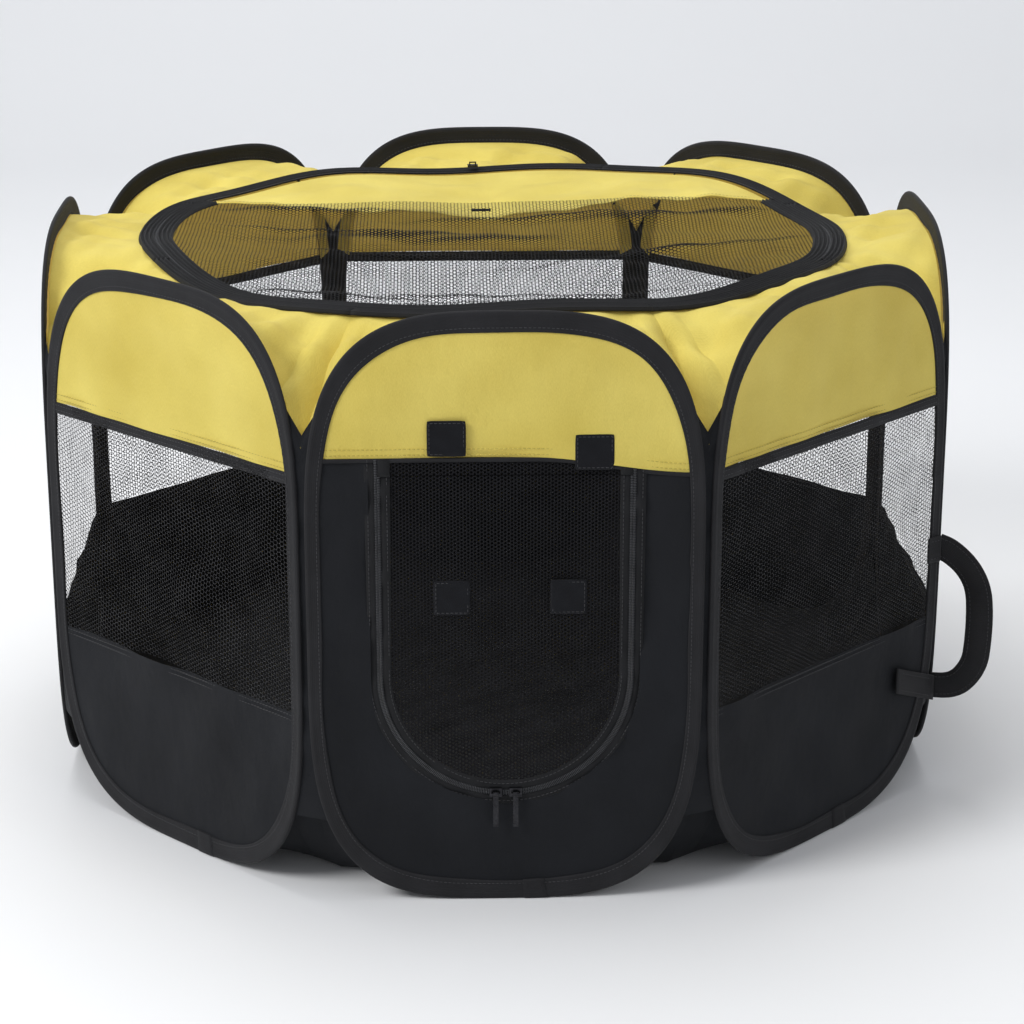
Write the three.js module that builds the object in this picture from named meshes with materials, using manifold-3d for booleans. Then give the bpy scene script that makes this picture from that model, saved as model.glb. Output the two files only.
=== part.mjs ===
// Pop-up pet playpen: eight sprung hoop panels sewn into an octagon, with a fabric roof deck, a zip-off lid of mesh,
// a floor, a zipped mesh door in the front panel and a webbing carry strap on the right-hand front corner.
// Millimetres, +Z up, origin on the floor at the centre of the octagon. The front panel faces -Y, +X is to its right.

import * as THREE from 'three';
import { ParametricGeometry } from 'three/addons/geometries/ParametricGeometry.js';
import { mergeGeometries, mergeVertices } from 'three/addons/utils/BufferGeometryUtils.js';
import Module from 'manifold-3d';

const wasm = await Module();
wasm.setup();

// ---- Driving dimensions -----------------------------------------------------------------------------------------

const ACROSS_FLATS = 914; // 36 inch pen, measured between opposite panels
const PEN_HEIGHT = 585;
const PANEL_NAMES = ['front', 'front_right', 'right', 'back_right', 'back', 'back_left', 'left', 'front_left'];

const CLOTH = 1.2; // thickness of every cloth and mesh sheet
const TAPE = 1.6; // thickness of the zip tapes
const GAP = 0.3; // between pieces that are sewn together
const HINGE_GAP = 1.2; // from a flap's edge to its fold line
const HINGE_RELIEF = 1.6; // from the fold line to the cloth that stays

const HOOP_TO_CORNER = 3; // clearance from a hoop's side to the fold line at the corner
const HOOP_STRAIGHT = 50; // half length of a hoop's straight side
const HOOP_ROUNDNESS = 3.3; // superellipse exponent of the arches
const HOOP_STEPS = 38; // puts a point at the top and the bottom, and none in the middle of a side
const WIRE_RADIUS = 1.25;
const WIRE_SIDES = 6;
const WIRE_INSET = 2.75; // wire's centre line, in from the binding's outer edge
const BINDING_THICKNESS = 4.8;
const BINDING_SIDE = 14; // width of the binding along the sides
const BINDING_ARCH = 20; // width of the binding over the arches
const PANEL_INSET = 5.5; // where the cloth starts inside the binding

const HEM_Z = 430; // where the upper cloth meets the mesh
const SILL_Z = 190; // where the mesh meets the lower cloth

const DOOR_RADIUS = 118; // centre line of the door's zip
const DOOR_CENTRE_Z = 230;
const ZIP_TAPE = 12; // width of each tape of the door's zip
const PATCH_SIZE = 34;
const PATCH_Z = 310;
const PATCH_X = [-50, 59];
const TAB_SIZE = [36, 34];
const TAB_X = [-54, 82];
const TAB_THICKNESS = 1.5;
const TAB_ABOVE_HEM = [18, 4];

const RING_RADIUS = 356; // centre line of the lid's zip
const RING_TAPE = 18; // width of each tape of the round zip
const RING_Z = 555;
const LID_CHORD_Y = 160; // fold line of the lid
const LID_SAG = 32;
const RING_STEP = Math.PI / 48; // between points of the round edges
const CORNER_DIP = 90; // height of the roof's corners below the top, and of the floor's above the ground
const KEEPER = [22, 16];
const KEEPER_X = -10;
const LID_SLIDER_TURN = 2.6; // degrees past the middle of the back, along the ring

const STRAP_REACH = 60; // from the corner's fold line out to the strap's edge
const STRAP_WIDTH = 28;
const STRAP_THICKNESS = 2;
const STRAP_TOP_Z = 277;
const STRAP_BOTTOM_Z = 92;

const APOTHEM = ACROSS_FLATS / 2;
const HALF_TURN = Math.PI / PANEL_NAMES.length;
const CORNER_RADIUS = APOTHEM / Math.cos(HALF_TURN);
const HOOP_HALF_WIDTH = APOTHEM * Math.tan(HALF_TURN) - HOOP_TO_CORNER;
const MID_Z = PEN_HEIGHT / 2;
const ARCH_RISE = MID_Z - HOOP_STRAIGHT;

// ---- Materials --------------------------------------------------------------------------------------------------

const material = (color, roughness, metalness = 0) => new THREE.MeshStandardMaterial({ color, roughness, metalness });

const yellowCloth = () => material(0xe0d474, 0.8);
const blackCloth = () => material(0x1b1b1e, 0.85);
const blackMesh = () => material(0x101012, 0.9);
const blackBinding = () => material(0x242427, 0.75);
const zipTape = () => material(0x17171a, 0.7);
const hookTape = () => material(0x202229, 0.95);
const webbing = () => material(0x151516, 0.8);
const springSteel = () => material(0x6d6f73, 0.35, 1);
const darkMetal = () => material(0x2c2c2f, 0.4, 0.9);

// ---- Solids -----------------------------------------------------------------------------------------------------

/** Merges shared vertices, drops collapsed triangles and turns the faces outwards. */
function welded(geometry) {
  const bare = geometry.clone();
  bare.deleteAttribute('normal');
  bare.deleteAttribute('uv');
  const merged = mergeVertices(bare, 1e-4);
  const index = [...merged.index.array];
  const kept = [];
  for (let i = 0; i < index.length; i += 3) {
    const [a, b, c] = index.slice(i, i + 3);
    if (a !== b && b !== c && c !== a) {
      kept.push(a, b, c);
    }
  }
  if (signedVolume(merged.attributes.position, kept) < 0) {
    kept.reverse();
  }
  merged.setIndex(kept);
  merged.computeVertexNormals();
  return merged;
}

function signedVolume(position, index) {
  const corner = [new THREE.Vector3(), new THREE.Vector3(), new THREE.Vector3()];
  let volume = 0;
  for (let i = 0; i < index.length; i += 3) {
    corner.forEach((point, n) => point.fromBufferAttribute(position, index[i + n]));
    volume += corner[0].dot(corner[1].cross(corner[2])) / 6;
  }
  return volume;
}

/** Closed skin through point(row, column); the rows go round a section and the columns round the object. */
function skin(rows, columns, point) {
  const wrapped = (u, v, target) => {
    target.copy(point(Math.round(u * rows) % rows, Math.round(v * columns) % columns));
  };
  return welded(new ParametricGeometry(wrapped, rows, columns));
}

function flipped(geometry) {
  geometry.index.array.reverse();
  return geometry;
}

/**
 * Closed sheet on a grid of points that goes round the pen; grid[column][row] runs outwards along each column.
 * lift(column, row) is half the sheet's thickness. Both faces are cut into the same triangles, so they never cross.
 */
function sheetOn(grid, lift) {
  const columns = grid.length;
  const last = grid[0].length - 1;
  const surface = (rows, rowAt, sideAt) => {
    const place = (u, v, target) => {
      const column = Math.round(v * columns) % columns;
      const row = rowAt(Math.round(u * rows));
      target.copy(grid[column][row]).addScaledVector(lift(column, row), sideAt(Math.round(u * rows)));
    };
    return new ParametricGeometry(place, rows, columns);
  };
  const face = (side) => surface(last, (step) => step, () => side);
  const rim = (row) => surface(1, () => row, (step) => 1 - 2 * step);
  return welded(mergeGeometries([face(1), flipped(face(-1)), rim(last), flipped(rim(0))]));
}

/** Sheet of even thickness, measured square to its surface. */
function thickSheet(grid, thickness) {
  const columns = grid.length;
  const last = grid[0].length - 1;
  return sheetOn(grid, (column, row) => {
    const before = grid[(column + columns - 1) % columns][Math.max(row, 1)];
    const after = grid[(column + 1) % columns][Math.max(row, 1)];
    const inner = grid[column][Math.max(row - 1, 0)];
    const outer = grid[column][Math.min(row + 1, last)];
    const along = new THREE.Vector3().subVectors(after, before);
    const out = new THREE.Vector3().subVectors(outer, inner);
    return out.cross(along).setLength(thickness / 2);
  });
}

/** Sheet on a disc-shaped outline: flat points of the outline, pulled in towards a centre and lifted by height(share). */
function discSheet(outline, centre, shares, height, thickness) {
  const grid = outline.map((edge) => [0, ...shares].map((share) => {
    const point = new THREE.Vector3().lerpVectors(centre, edge, share);
    point.z = height(share, edge);
    return point;
  }));
  const up = new THREE.Vector3(0, 0, thickness / 2);
  return sheetOn(grid, () => up);
}

/** Outline drawn in X and Z, made into a plate that stands at y and is given thickness to both sides of it. */
function standingPlate(shape, y, thickness) {
  const geometry = new THREE.ExtrudeGeometry(shape, { depth: thickness, bevelEnabled: false, curveSegments: 12 });
  geometry.rotateX(Math.PI / 2);
  geometry.translate(0, y + thickness / 2, 0);
  return welded(geometry);
}

/** Outline drawn in X and Y, made into a plate whose middle lies at height z. */
function lyingPlate(shape, z, thickness) {
  const geometry = new THREE.ExtrudeGeometry(shape, { depth: thickness, bevelEnabled: false, curveSegments: 12 });
  geometry.translate(0, 0, z - thickness / 2);
  return welded(geometry);
}

function solidOf(geometry) {
  const clean = welded(geometry);
  const vertProperties = new Float32Array(clean.attributes.position.array);
  const triVerts = new Uint32Array(clean.index.array);
  return new wasm.Manifold(new wasm.Mesh({ numProp: 3, vertProperties, triVerts }));
}

/** One solid from several that overlap. */
function joined(geometries) {
  const mesh = geometries.map(solidOf).reduce((sum, solid) => sum.add(solid)).getMesh();
  const geometry = new THREE.BufferGeometry();
  geometry.setAttribute('position', new THREE.BufferAttribute(mesh.vertProperties, 3));
  geometry.setIndex(new THREE.BufferAttribute(mesh.triVerts, 1));
  geometry.computeVertexNormals();
  return geometry;
}

// ---- Hoop outline -----------------------------------------------------------------------------------------------

const power = (value, exponent) => Math.sign(value) * Math.abs(value) ** exponent;

/** Insets of the side and the arch at a share of the binding's width, 0 at its outer edge. */
function bindingInset(share) {
  return { side: share * BINDING_SIDE, arch: share * BINDING_ARCH };
}

function hoopPoint(angle, inset) {
  const x = (HOOP_HALF_WIDTH - inset.side) * power(Math.cos(angle), 2 / HOOP_ROUNDNESS);
  const rise = HOOP_STRAIGHT + (ARCH_RISE - inset.arch) * Math.abs(Math.sin(angle)) ** (2 / HOOP_ROUNDNESS);
  return new THREE.Vector2(x, MID_Z + Math.sign(Math.sin(angle)) * rise);
}

/** Angle at which the right-hand side of the outline reaches height z. */
function hoopAngleAt(z, inset) {
  const rise = Math.max(Math.abs(z - MID_Z) - HOOP_STRAIGHT, 0) / (ARCH_RISE - inset.arch);
  return Math.sign(z - MID_Z) * Math.asin(Math.min(rise, 1) ** (HOOP_ROUNDNESS / 2));
}

/** The part of the panel between two heights, as a closed outline. Leave top or bottom out to run to the arch. */
function bandOutline(inset, bottom, top, steps) {
  const low = bottom === undefined ? -Math.PI / 2 : hoopAngleAt(bottom, inset);
  const high = top === undefined ? Math.PI / 2 : hoopAngleAt(top, inset);
  const right = [];
  for (let i = 0; i <= steps; i += 1) {
    const point = hoopPoint(low + (high - low) * i / steps, inset);
    right.push(point);
  }
  if (bottom !== undefined) {
    right[0].y = bottom;
  }
  if (top !== undefined) {
    right[steps].y = top;
  }
  const left = right.map((point) => new THREE.Vector2(-point.x, point.y)).reverse();
  const corners = [...right, ...left];
  return corners.filter((point, i) => point.distanceTo(corners[(i + 1) % corners.length]) > 0.01);
}

// ---- Panel pieces, all made in the place of the front panel ------------------------------------------------------

/** Folded edge binding: a U section that holds the wire and grips the edge of the cloth. */
function bindingGeometry() {
  const wall = 0.75;
  const outer = BINDING_THICKNESS / 2;
  const lip = CLOTH / 2 + GAP;
  const section = [
    [0, outer],
    [1, lip + wall],
    [1, lip],
    [0.07, outer - wall],
    [0.07, wall - outer],
    [1, -lip],
    [1, -lip - wall],
    [0, -outer],
  ];
  return skin(section.length, HOOP_STEPS, (row, column) => {
    const [share, offset] = section[row];
    const point = hoopPoint(2 * Math.PI * (column + 0.5) / HOOP_STEPS, bindingInset(share));
    return new THREE.Vector3(point.x, -APOTHEM + offset, point.y);
  });
}

function wireGeometry() {
  return skin(WIRE_SIDES, HOOP_STEPS, (row, column) => {
    const turn = 2 * Math.PI * row / WIRE_SIDES;
    const depth = WIRE_INSET + WIRE_RADIUS * Math.cos(turn);
    const point = hoopPoint(2 * Math.PI * (column + 0.5) / HOOP_STEPS, { side: depth, arch: depth });
    return new THREE.Vector3(point.x, -APOTHEM + WIRE_RADIUS * Math.sin(turn), point.y);
  });
}

const CLOTH_EDGE = { side: PANEL_INSET, arch: PANEL_INSET };

function bandGeometry(bottom, top, steps) {
  return standingPlate(new THREE.Shape(bandOutline(CLOTH_EDGE, bottom, top, steps)), -APOTHEM, CLOTH);
}

/** Half of the door's outline to the right of its middle, from the bottom of the curve up to height top. */
function doorSide(radius, top, steps = 12) {
  const points = [];
  for (let i = 0; i <= steps; i += 1) {
    const turn = Math.PI / 2 * i / steps;
    points.push(new THREE.Vector2(radius * Math.sin(turn), DOOR_CENTRE_Z - radius * Math.cos(turn)));
  }
  points.push(new THREE.Vector2(radius, top));
  return points;
}

/** U outline of the door, from the top left down round the curve and up to the top right. */
function doorCurve(radius, top) {
  const right = doorSide(radius, top);
  const left = right.slice(1).map((point) => new THREE.Vector2(-point.x, point.y)).reverse();
  return [...left, ...right];
}

/** Lower cloth of the front panel, cut out round the door's outer zip tape. */
function doorSurroundGeometry() {
  const top = HEM_Z - GAP / 2;
  const band = bandOutline(CLOTH_EDGE, undefined, top, 26);
  const topRight = band.findIndex((point) => Math.abs(point.y - top) < 1e-6);
  const cut = doorCurve(DOOR_RADIUS + ZIP_TAPE + GAP, top).reverse();
  const outline = [...band.slice(0, topRight + 1), ...cut, ...band.slice(topRight + 1)];
  return standingPlate(new THREE.Shape(outline), -APOTHEM, CLOTH);
}

function doorZipGeometry(inner, outer, top) {
  const outline = [...doorCurve(outer, top), ...doorCurve(inner, top).reverse()];
  return standingPlate(new THREE.Shape(outline), -APOTHEM, TAPE);
}

function doorMeshGeometry() {
  const radius = DOOR_RADIUS - ZIP_TAPE - GAP;
  return standingPlate(new THREE.Shape(doorCurve(radius, HEM_Z - HINGE_GAP)), -APOTHEM, CLOTH);
}

/** Square of hook-and-loop tape on the outside of a sheet; x and z are its centre. */
function patchGeometry(x, z, width, height, thickness) {
  const geometry = new THREE.BoxGeometry(width, thickness, height);
  geometry.translate(x, -APOTHEM - CLOTH / 2 - GAP - thickness / 2, z);
  return welded(geometry);
}

// ---- Zip sliders -------------------------------------------------------------------------------------------------

const SLIDER_LENGTH = 12;
const SLIDER_WIDTH = 9;
const SLIDER_BASE = 2.2;
const BRIDGE_BAR = 1.4; // square bar that carries the pull
const BRIDGE_AXIS = 5.1; // height of the bar's axis over the slider's underside
const BRIDGE_SPAN = 8.4;
const PULL_EYE = 2.2; // outer radius of the pull's eye
const PULL_WIDTH = 5;
const PULL_LENGTH = 34;
const PULL_THICKNESS = 1.6;
const SLIDER_SPREAD = 9.5; // of each door slider, from the middle of the door

/** Slider with its base on the X-Y plane, running along X, with the bridge over it. */
function sliderGeometry() {
  const base = new THREE.BoxGeometry(SLIDER_LENGTH, SLIDER_WIDTH, SLIDER_BASE);
  base.translate(0, 0, SLIDER_BASE / 2);
  const bar = new THREE.BoxGeometry(BRIDGE_SPAN, BRIDGE_BAR, BRIDGE_BAR);
  bar.translate(0, 0, BRIDGE_AXIS);
  const postHeight = BRIDGE_AXIS + BRIDGE_BAR / 2 - SLIDER_BASE / 2;
  const posts = [-1, 1].map((side) => {
    const post = new THREE.BoxGeometry(BRIDGE_BAR, BRIDGE_BAR, postHeight);
    post.translate(side * (BRIDGE_SPAN - BRIDGE_BAR) / 2, 0, SLIDER_BASE / 2 + postHeight / 2);
    return post;
  });
  return joined([base, bar, ...posts]);
}

/** Pull that hangs from the bridge: its eye goes round the bar, and its blade runs along -Y at the bar's height. */
function pullGeometry() {
  const blade = PULL_THICKNESS / 2;
  const from = Math.asin(blade / PULL_EYE);
  const outline = new THREE.Shape();
  outline.absarc(0, 0, PULL_EYE, from, 2 * Math.PI - from, false);
  outline.lineTo(PULL_LENGTH, -blade);
  outline.lineTo(PULL_LENGTH, blade);
  const eye = new THREE.Path();
  eye.absarc(0, 0, BRIDGE_BAR * Math.SQRT1_2 + GAP, 0, 2 * Math.PI, true);
  outline.holes.push(eye);
  const geometry = new THREE.ExtrudeGeometry(outline, { depth: PULL_WIDTH, bevelEnabled: false, curveSegments: 10 });
  geometry.translate(0, 0, -PULL_WIDTH / 2);
  geometry.rotateY(Math.PI / 2);
  geometry.rotateX(Math.PI / 2);
  geometry.rotateZ(Math.PI);
  geometry.translate(0, 0, BRIDGE_AXIS);
  return welded(geometry);
}

// ---- Roof, lid and floor ------------------------------------------------------------------------------------------

const UP = new THREE.Vector3(0, 0, 1);
const DECK_STEPS = 8; // along each arch
const DECK_SEAM = 0.95; // share of the binding's width at which the deck is sewn to it
const FLOOR_SEAM = 0.45; // and the floor
const DECK_CLEARANCE = 1.6; // from the round zip tape to the deck's many-sided inner edge

/** Where the deck is sewn to the hoops: points round the pen, on the inner face of each binding. */
function sewnEdge(sign, seam) {
  const inset = bindingInset(seam);
  const inward = APOTHEM - BINDING_THICKNESS / 2 - GAP - CLOTH / 2;
  const start = hoopAngleAt(PEN_HEIGHT - CORNER_DIP, inset);
  const edge = [];
  for (let panel = 0; panel < PANEL_NAMES.length; panel += 1) {
    for (let i = 0; i <= DECK_STEPS; i += 1) {
      const angle = Math.PI - start - (Math.PI - 2 * start) * i / DECK_STEPS;
      const point = hoopPoint(angle, inset);
      const z = sign > 0 ? point.y : PEN_HEIGHT - point.y;
      edge.push(new THREE.Vector3(point.x, -inward, z).applyAxisAngle(UP, 2 * HALF_TURN * panel));
    }
  }
  return edge;
}

/** Deck between the lid's zip and the arches, dipping to the hoops' corners. */
function roofGeometry() {
  const inner = RING_RADIUS + RING_TAPE + DECK_CLEARANCE;
  const shares = [0, 0.25, 0.5, 0.75, 1];
  const grid = sewnEdge(1, DECK_SEAM).map((edge) => {
    const reach = Math.hypot(edge.x, edge.y);
    const start = new THREE.Vector3(edge.x * inner / reach, edge.y * inner / reach, RING_Z);
    return shares.map((share) => {
      const point = new THREE.Vector3().lerpVectors(start, edge, share);
      point.z = THREE.MathUtils.lerp(RING_Z, edge.z, share ** 1.25);
      return point;
    });
  });
  return thickSheet(grid, CLOTH);
}

/** Floor: flat on the ground, turned up to the hoops all round. */
function floorGeometry() {
  const flat = 0.86;
  const shares = [0.4, 0.8, flat, 0.93, 1];
  const height = (share, edge) => {
    const turnedUp = Math.max(share - flat, 0) / (1 - flat);
    return CLOTH / 2 + (edge.z - CLOTH / 2) * turnedUp ** 1.4;
  };
  return discSheet(sewnEdge(-1, FLOOR_SEAM), new THREE.Vector3(), shares, height, CLOTH);
}

/** Arc of points on a circle round the pen's centre between two turns. */
function arcPoints(radius, from, to) {
  const steps = Math.ceil(Math.abs(to - from) / RING_STEP);
  const points = [];
  for (let i = 0; i <= steps; i += 1) {
    const turn = from + (to - from) * i / steps;
    points.push(new THREE.Vector2(radius * Math.cos(turn), radius * Math.sin(turn)));
  }
  return points;
}

/** Turn at which a circle of this radius crosses the line at height y, on the right-hand side. */
const turnAt = (radius, y) => Math.asin(y / radius);

function roofZipGeometry() {
  const outline = new THREE.Shape(arcPoints(RING_RADIUS + RING_TAPE, 0, 2 * Math.PI).slice(1));
  outline.holes.push(new THREE.Path(arcPoints(RING_RADIUS + GAP / 2, 2 * Math.PI, 0).slice(1)));
  return lyingPlate(outline, RING_Z, TAPE);
}

function lidZipGeometry() {
  const edge = LID_CHORD_Y - HINGE_GAP;
  const outer = RING_RADIUS - GAP / 2;
  const inner = RING_RADIUS - RING_TAPE;
  const rim = arcPoints(outer, -Math.PI - turnAt(outer, edge), turnAt(outer, edge));
  const back = arcPoints(inner, turnAt(inner, edge), -Math.PI - turnAt(inner, edge));
  return lyingPlate(new THREE.Shape([...rim, ...back]), RING_Z, TAPE);
}

/** Mesh of the lid, sagging between its zip and its fold line. */
function lidMeshGeometry() {
  const radius = RING_RADIUS - RING_TAPE - GAP;
  const edge = LID_CHORD_Y - HINGE_GAP;
  const rim = arcPoints(radius, -Math.PI - turnAt(radius, edge), turnAt(radius, edge));
  const chordSteps = 10;
  const chord = [];
  for (let i = 1; i < chordSteps; i += 1) {
    const x = rim[rim.length - 1].x;
    chord.push(new THREE.Vector2(x - 2 * x * i / chordSteps, edge));
  }
  const outline = [...rim, ...chord].map((point) => new THREE.Vector3(point.x, point.y, RING_Z));
  const height = (share) => RING_Z - LID_SAG * (1 - share ** 2);
  const middle = new THREE.Vector3(0, (edge - radius) / 2, RING_Z);
  return discSheet(outline, middle, [0.35, 0.7, 1], height, CLOTH);
}

/** Crescent of roof cloth that stays behind the lid's fold line. */
function crescentGeometry() {
  const radius = RING_RADIUS - GAP / 2;
  const edge = LID_CHORD_Y + HINGE_RELIEF;
  const rim = arcPoints(radius, turnAt(radius, edge), Math.PI - turnAt(radius, edge));
  return lyingPlate(new THREE.Shape(rim), RING_Z, CLOTH);
}

function keeperGeometry() {
  const [width, drop] = KEEPER;
  const geometry = new THREE.BoxGeometry(width, CLOTH, drop);
  const y = LID_CHORD_Y + HINGE_RELIEF + CLOTH / 2;
  geometry.translate(KEEPER_X, y, RING_Z - CLOTH / 2 - GAP - drop / 2);
  return welded(geometry);
}

// ---- Carry strap --------------------------------------------------------------------------------------------------

const STRAP_INNER = 2.6; // from the corner's fold line to the sewn ends

/** Loop of flat webbing drawn outwards and upwards from the corner's fold line. */
function strapGeometry() {
  const inside = STRAP_REACH - STRAP_WIDTH - 1;
  const shape = new THREE.Shape();
  shape.moveTo(STRAP_INNER, STRAP_TOP_Z);
  shape.lineTo(STRAP_INNER + 8, STRAP_TOP_Z - 1);
  shape.lineTo(STRAP_REACH - 18, STRAP_TOP_Z - 34);
  shape.quadraticCurveTo(STRAP_REACH, STRAP_TOP_Z - 52, STRAP_REACH, STRAP_TOP_Z - 80);
  shape.lineTo(STRAP_REACH - 3, STRAP_BOTTOM_Z + 52);
  shape.lineTo(STRAP_REACH - 14, STRAP_BOTTOM_Z + 36);
  shape.lineTo(STRAP_INNER + 16, STRAP_BOTTOM_Z + 3);
  shape.lineTo(STRAP_INNER, STRAP_BOTTOM_Z);
  shape.lineTo(STRAP_INNER, STRAP_BOTTOM_Z + STRAP_WIDTH + 4);
  shape.lineTo(inside, STRAP_BOTTOM_Z + STRAP_WIDTH + 4);
  shape.lineTo(inside, STRAP_TOP_Z - STRAP_WIDTH - 4);
  shape.lineTo(STRAP_INNER, STRAP_TOP_Z - STRAP_WIDTH - 2);
  return standingPlate(shape, 0, STRAP_THICKNESS);
}

// ---- Assembly -----------------------------------------------------------------------------------------------------

const pen = new THREE.Group();

function place(parent, name, geometry, surface) {
  const mesh = new THREE.Mesh(geometry, surface);
  mesh.name = name;
  parent.add(mesh);
  return mesh;
}

/** One hoop panel in a group turned to its side of the octagon. */
function addPanel(side, name) {
  const group = new THREE.Group();
  group.rotation.z = 2 * HALF_TURN * side;
  pen.add(group);
  place(group, `hoop_${name}`, wireGeometry(), springSteel());
  place(group, `binding_${name}`, bindingGeometry(), blackBinding());
  if (name === 'front') {
    addFrontCloth(group);
  } else {
    place(group, `upper_${name}`, bandGeometry(HEM_Z + GAP / 2, undefined, 12), yellowCloth());
    place(group, `window_${name}`, bandGeometry(SILL_Z + GAP / 2, HEM_Z - GAP / 2, 12), blackMesh());
    place(group, `lower_${name}`, bandGeometry(undefined, SILL_Z - GAP / 2, 12), blackCloth());
  }
  return group;
}

function addFrontCloth(group) {
  const doorTop = HEM_Z - HINGE_GAP;
  const surroundTop = HEM_Z - GAP / 2;
  place(group, 'upper_front', bandGeometry(HEM_Z + HINGE_RELIEF, undefined, 12), yellowCloth());
  place(group, 'lower_front', doorSurroundGeometry(), blackCloth());
  const outerZip = doorZipGeometry(DOOR_RADIUS + GAP / 2, DOOR_RADIUS + ZIP_TAPE, surroundTop);
  place(group, 'door_zip_outer', outerZip, zipTape());
  const innerZip = doorZipGeometry(DOOR_RADIUS - ZIP_TAPE, DOOR_RADIUS - GAP / 2, doorTop);
  place(group, 'door_zip_inner', innerZip, zipTape());
  place(group, 'door_mesh', doorMeshGeometry(), blackMesh());
  ['left', 'right'].forEach((side, i) => {
    addDoorSlider(group, side, i === 0 ? -1 : 1);
    const patch = patchGeometry(PATCH_X[i], PATCH_Z, PATCH_SIZE, PATCH_SIZE, CLOTH);
    place(group, `door_patch_${side}`, patch, hookTape());
    const tabZ = HEM_Z + TAB_ABOVE_HEM[i] + TAB_SIZE[1] / 2;
    const tab = patchGeometry(TAB_X[i], tabZ, TAB_SIZE[0], TAB_SIZE[1], TAB_THICKNESS);
    place(group, `roll_tab_${side}`, tab, hookTape());
  });
}

/** Slider and pull at the bottom of the door's zip, a little to one side of the middle. */
function addDoorSlider(group, side, sign) {
  const turn = sign * SLIDER_SPREAD / DOOR_RADIUS;
  const seat = new THREE.Group();
  const height = DOOR_CENTRE_Z - DOOR_RADIUS * Math.cos(turn);
  seat.position.set(DOOR_RADIUS * Math.sin(turn), -APOTHEM - TAPE / 2 - GAP, height);
  seat.rotation.x = Math.PI / 2;
  group.add(seat);
  place(seat, `door_slider_${side}`, sliderGeometry(), darkMetal());
  place(seat, `door_pull_${side}`, pullGeometry(), darkMetal());
}

function addLid() {
  place(pen, 'roof_zip_outer', roofZipGeometry(), zipTape());
  place(pen, 'lid_zip_inner', lidZipGeometry(), zipTape());
  place(pen, 'lid_mesh', lidMeshGeometry(), blackMesh());
  place(pen, 'lid_back_panel', crescentGeometry(), yellowCloth());
  place(pen, 'lid_keeper_tab', keeperGeometry(), hookTape());
  const turn = THREE.MathUtils.degToRad(LID_SLIDER_TURN);
  const slider = place(pen, 'lid_slider', sliderGeometry(), darkMetal());
  slider.position.set(-RING_RADIUS * Math.sin(turn), RING_RADIUS * Math.cos(turn), RING_Z + TAPE / 2 + GAP);
  slider.rotation.z = turn;
}

function addStrap() {
  const turn = HALF_TURN - Math.PI / 2 + 2 * HALF_TURN;
  const strap = place(pen, 'carry_strap', strapGeometry(), webbing());
  strap.position.set(CORNER_RADIUS * Math.cos(turn), CORNER_RADIUS * Math.sin(turn), 0);
  strap.rotation.z = turn;
}

place(pen, 'floor', floorGeometry(), blackCloth());
place(pen, 'roof', roofGeometry(), yellowCloth());
PANEL_NAMES.forEach((name, side) => addPanel(side, name));
addLid();
addStrap();

export default pen;
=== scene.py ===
"""Looks of an eight-sided pop-up pet playpen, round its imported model. Metres, in the model's frame."""

import math

import bpy
import numpy as np
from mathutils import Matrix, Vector


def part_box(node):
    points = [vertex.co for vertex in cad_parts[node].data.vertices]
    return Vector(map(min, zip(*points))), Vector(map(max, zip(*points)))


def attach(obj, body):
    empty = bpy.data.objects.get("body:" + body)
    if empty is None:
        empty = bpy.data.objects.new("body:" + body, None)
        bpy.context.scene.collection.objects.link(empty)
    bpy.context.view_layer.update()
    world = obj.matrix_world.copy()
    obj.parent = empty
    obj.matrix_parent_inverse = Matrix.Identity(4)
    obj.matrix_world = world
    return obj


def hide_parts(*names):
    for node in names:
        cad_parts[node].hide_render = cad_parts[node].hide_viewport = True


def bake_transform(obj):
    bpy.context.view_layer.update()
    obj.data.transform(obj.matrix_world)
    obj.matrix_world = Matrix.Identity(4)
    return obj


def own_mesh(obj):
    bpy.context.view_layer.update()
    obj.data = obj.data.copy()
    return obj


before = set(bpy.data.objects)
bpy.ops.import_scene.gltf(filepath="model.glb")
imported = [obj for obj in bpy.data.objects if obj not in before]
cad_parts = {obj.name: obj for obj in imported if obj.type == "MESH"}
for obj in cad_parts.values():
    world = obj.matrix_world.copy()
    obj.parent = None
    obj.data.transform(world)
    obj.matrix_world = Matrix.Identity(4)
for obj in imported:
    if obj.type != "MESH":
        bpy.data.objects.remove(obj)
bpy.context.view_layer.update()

# ---- Sizes ----

PANELS = ["front", "front_right", "right", "back_right", "back", "back_left", "left", "front_left"]
TURN = math.tau / len(PANELS)
OPEN_CORNER = PANELS.index("back")  # no joint joins this panel to the next one

HOOP_LOW, HOOP_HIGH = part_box("binding_back")
APOTHEM = (HOOP_LOW.y + HOOP_HIGH.y) / 2
HEIGHT = HOOP_HIGH.z
HALF_WIDTH = HOOP_HIGH.x
HALF_BINDING = (HOOP_HIGH.y - HOOP_LOW.y) / 2
MIDDLE_Z = HEIGHT / 2
STRAIGHT = 0.05  # half length of a hoop's straight side
ARCH_RISE = MIDDLE_Z - STRAIGHT
ROUNDNESS = 3.3
BINDING_SIDE = 0.014
BINDING_ARCH = 0.020
TUCK = 0.5  # share of the binding's width at which the cloths end, inside it

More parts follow.
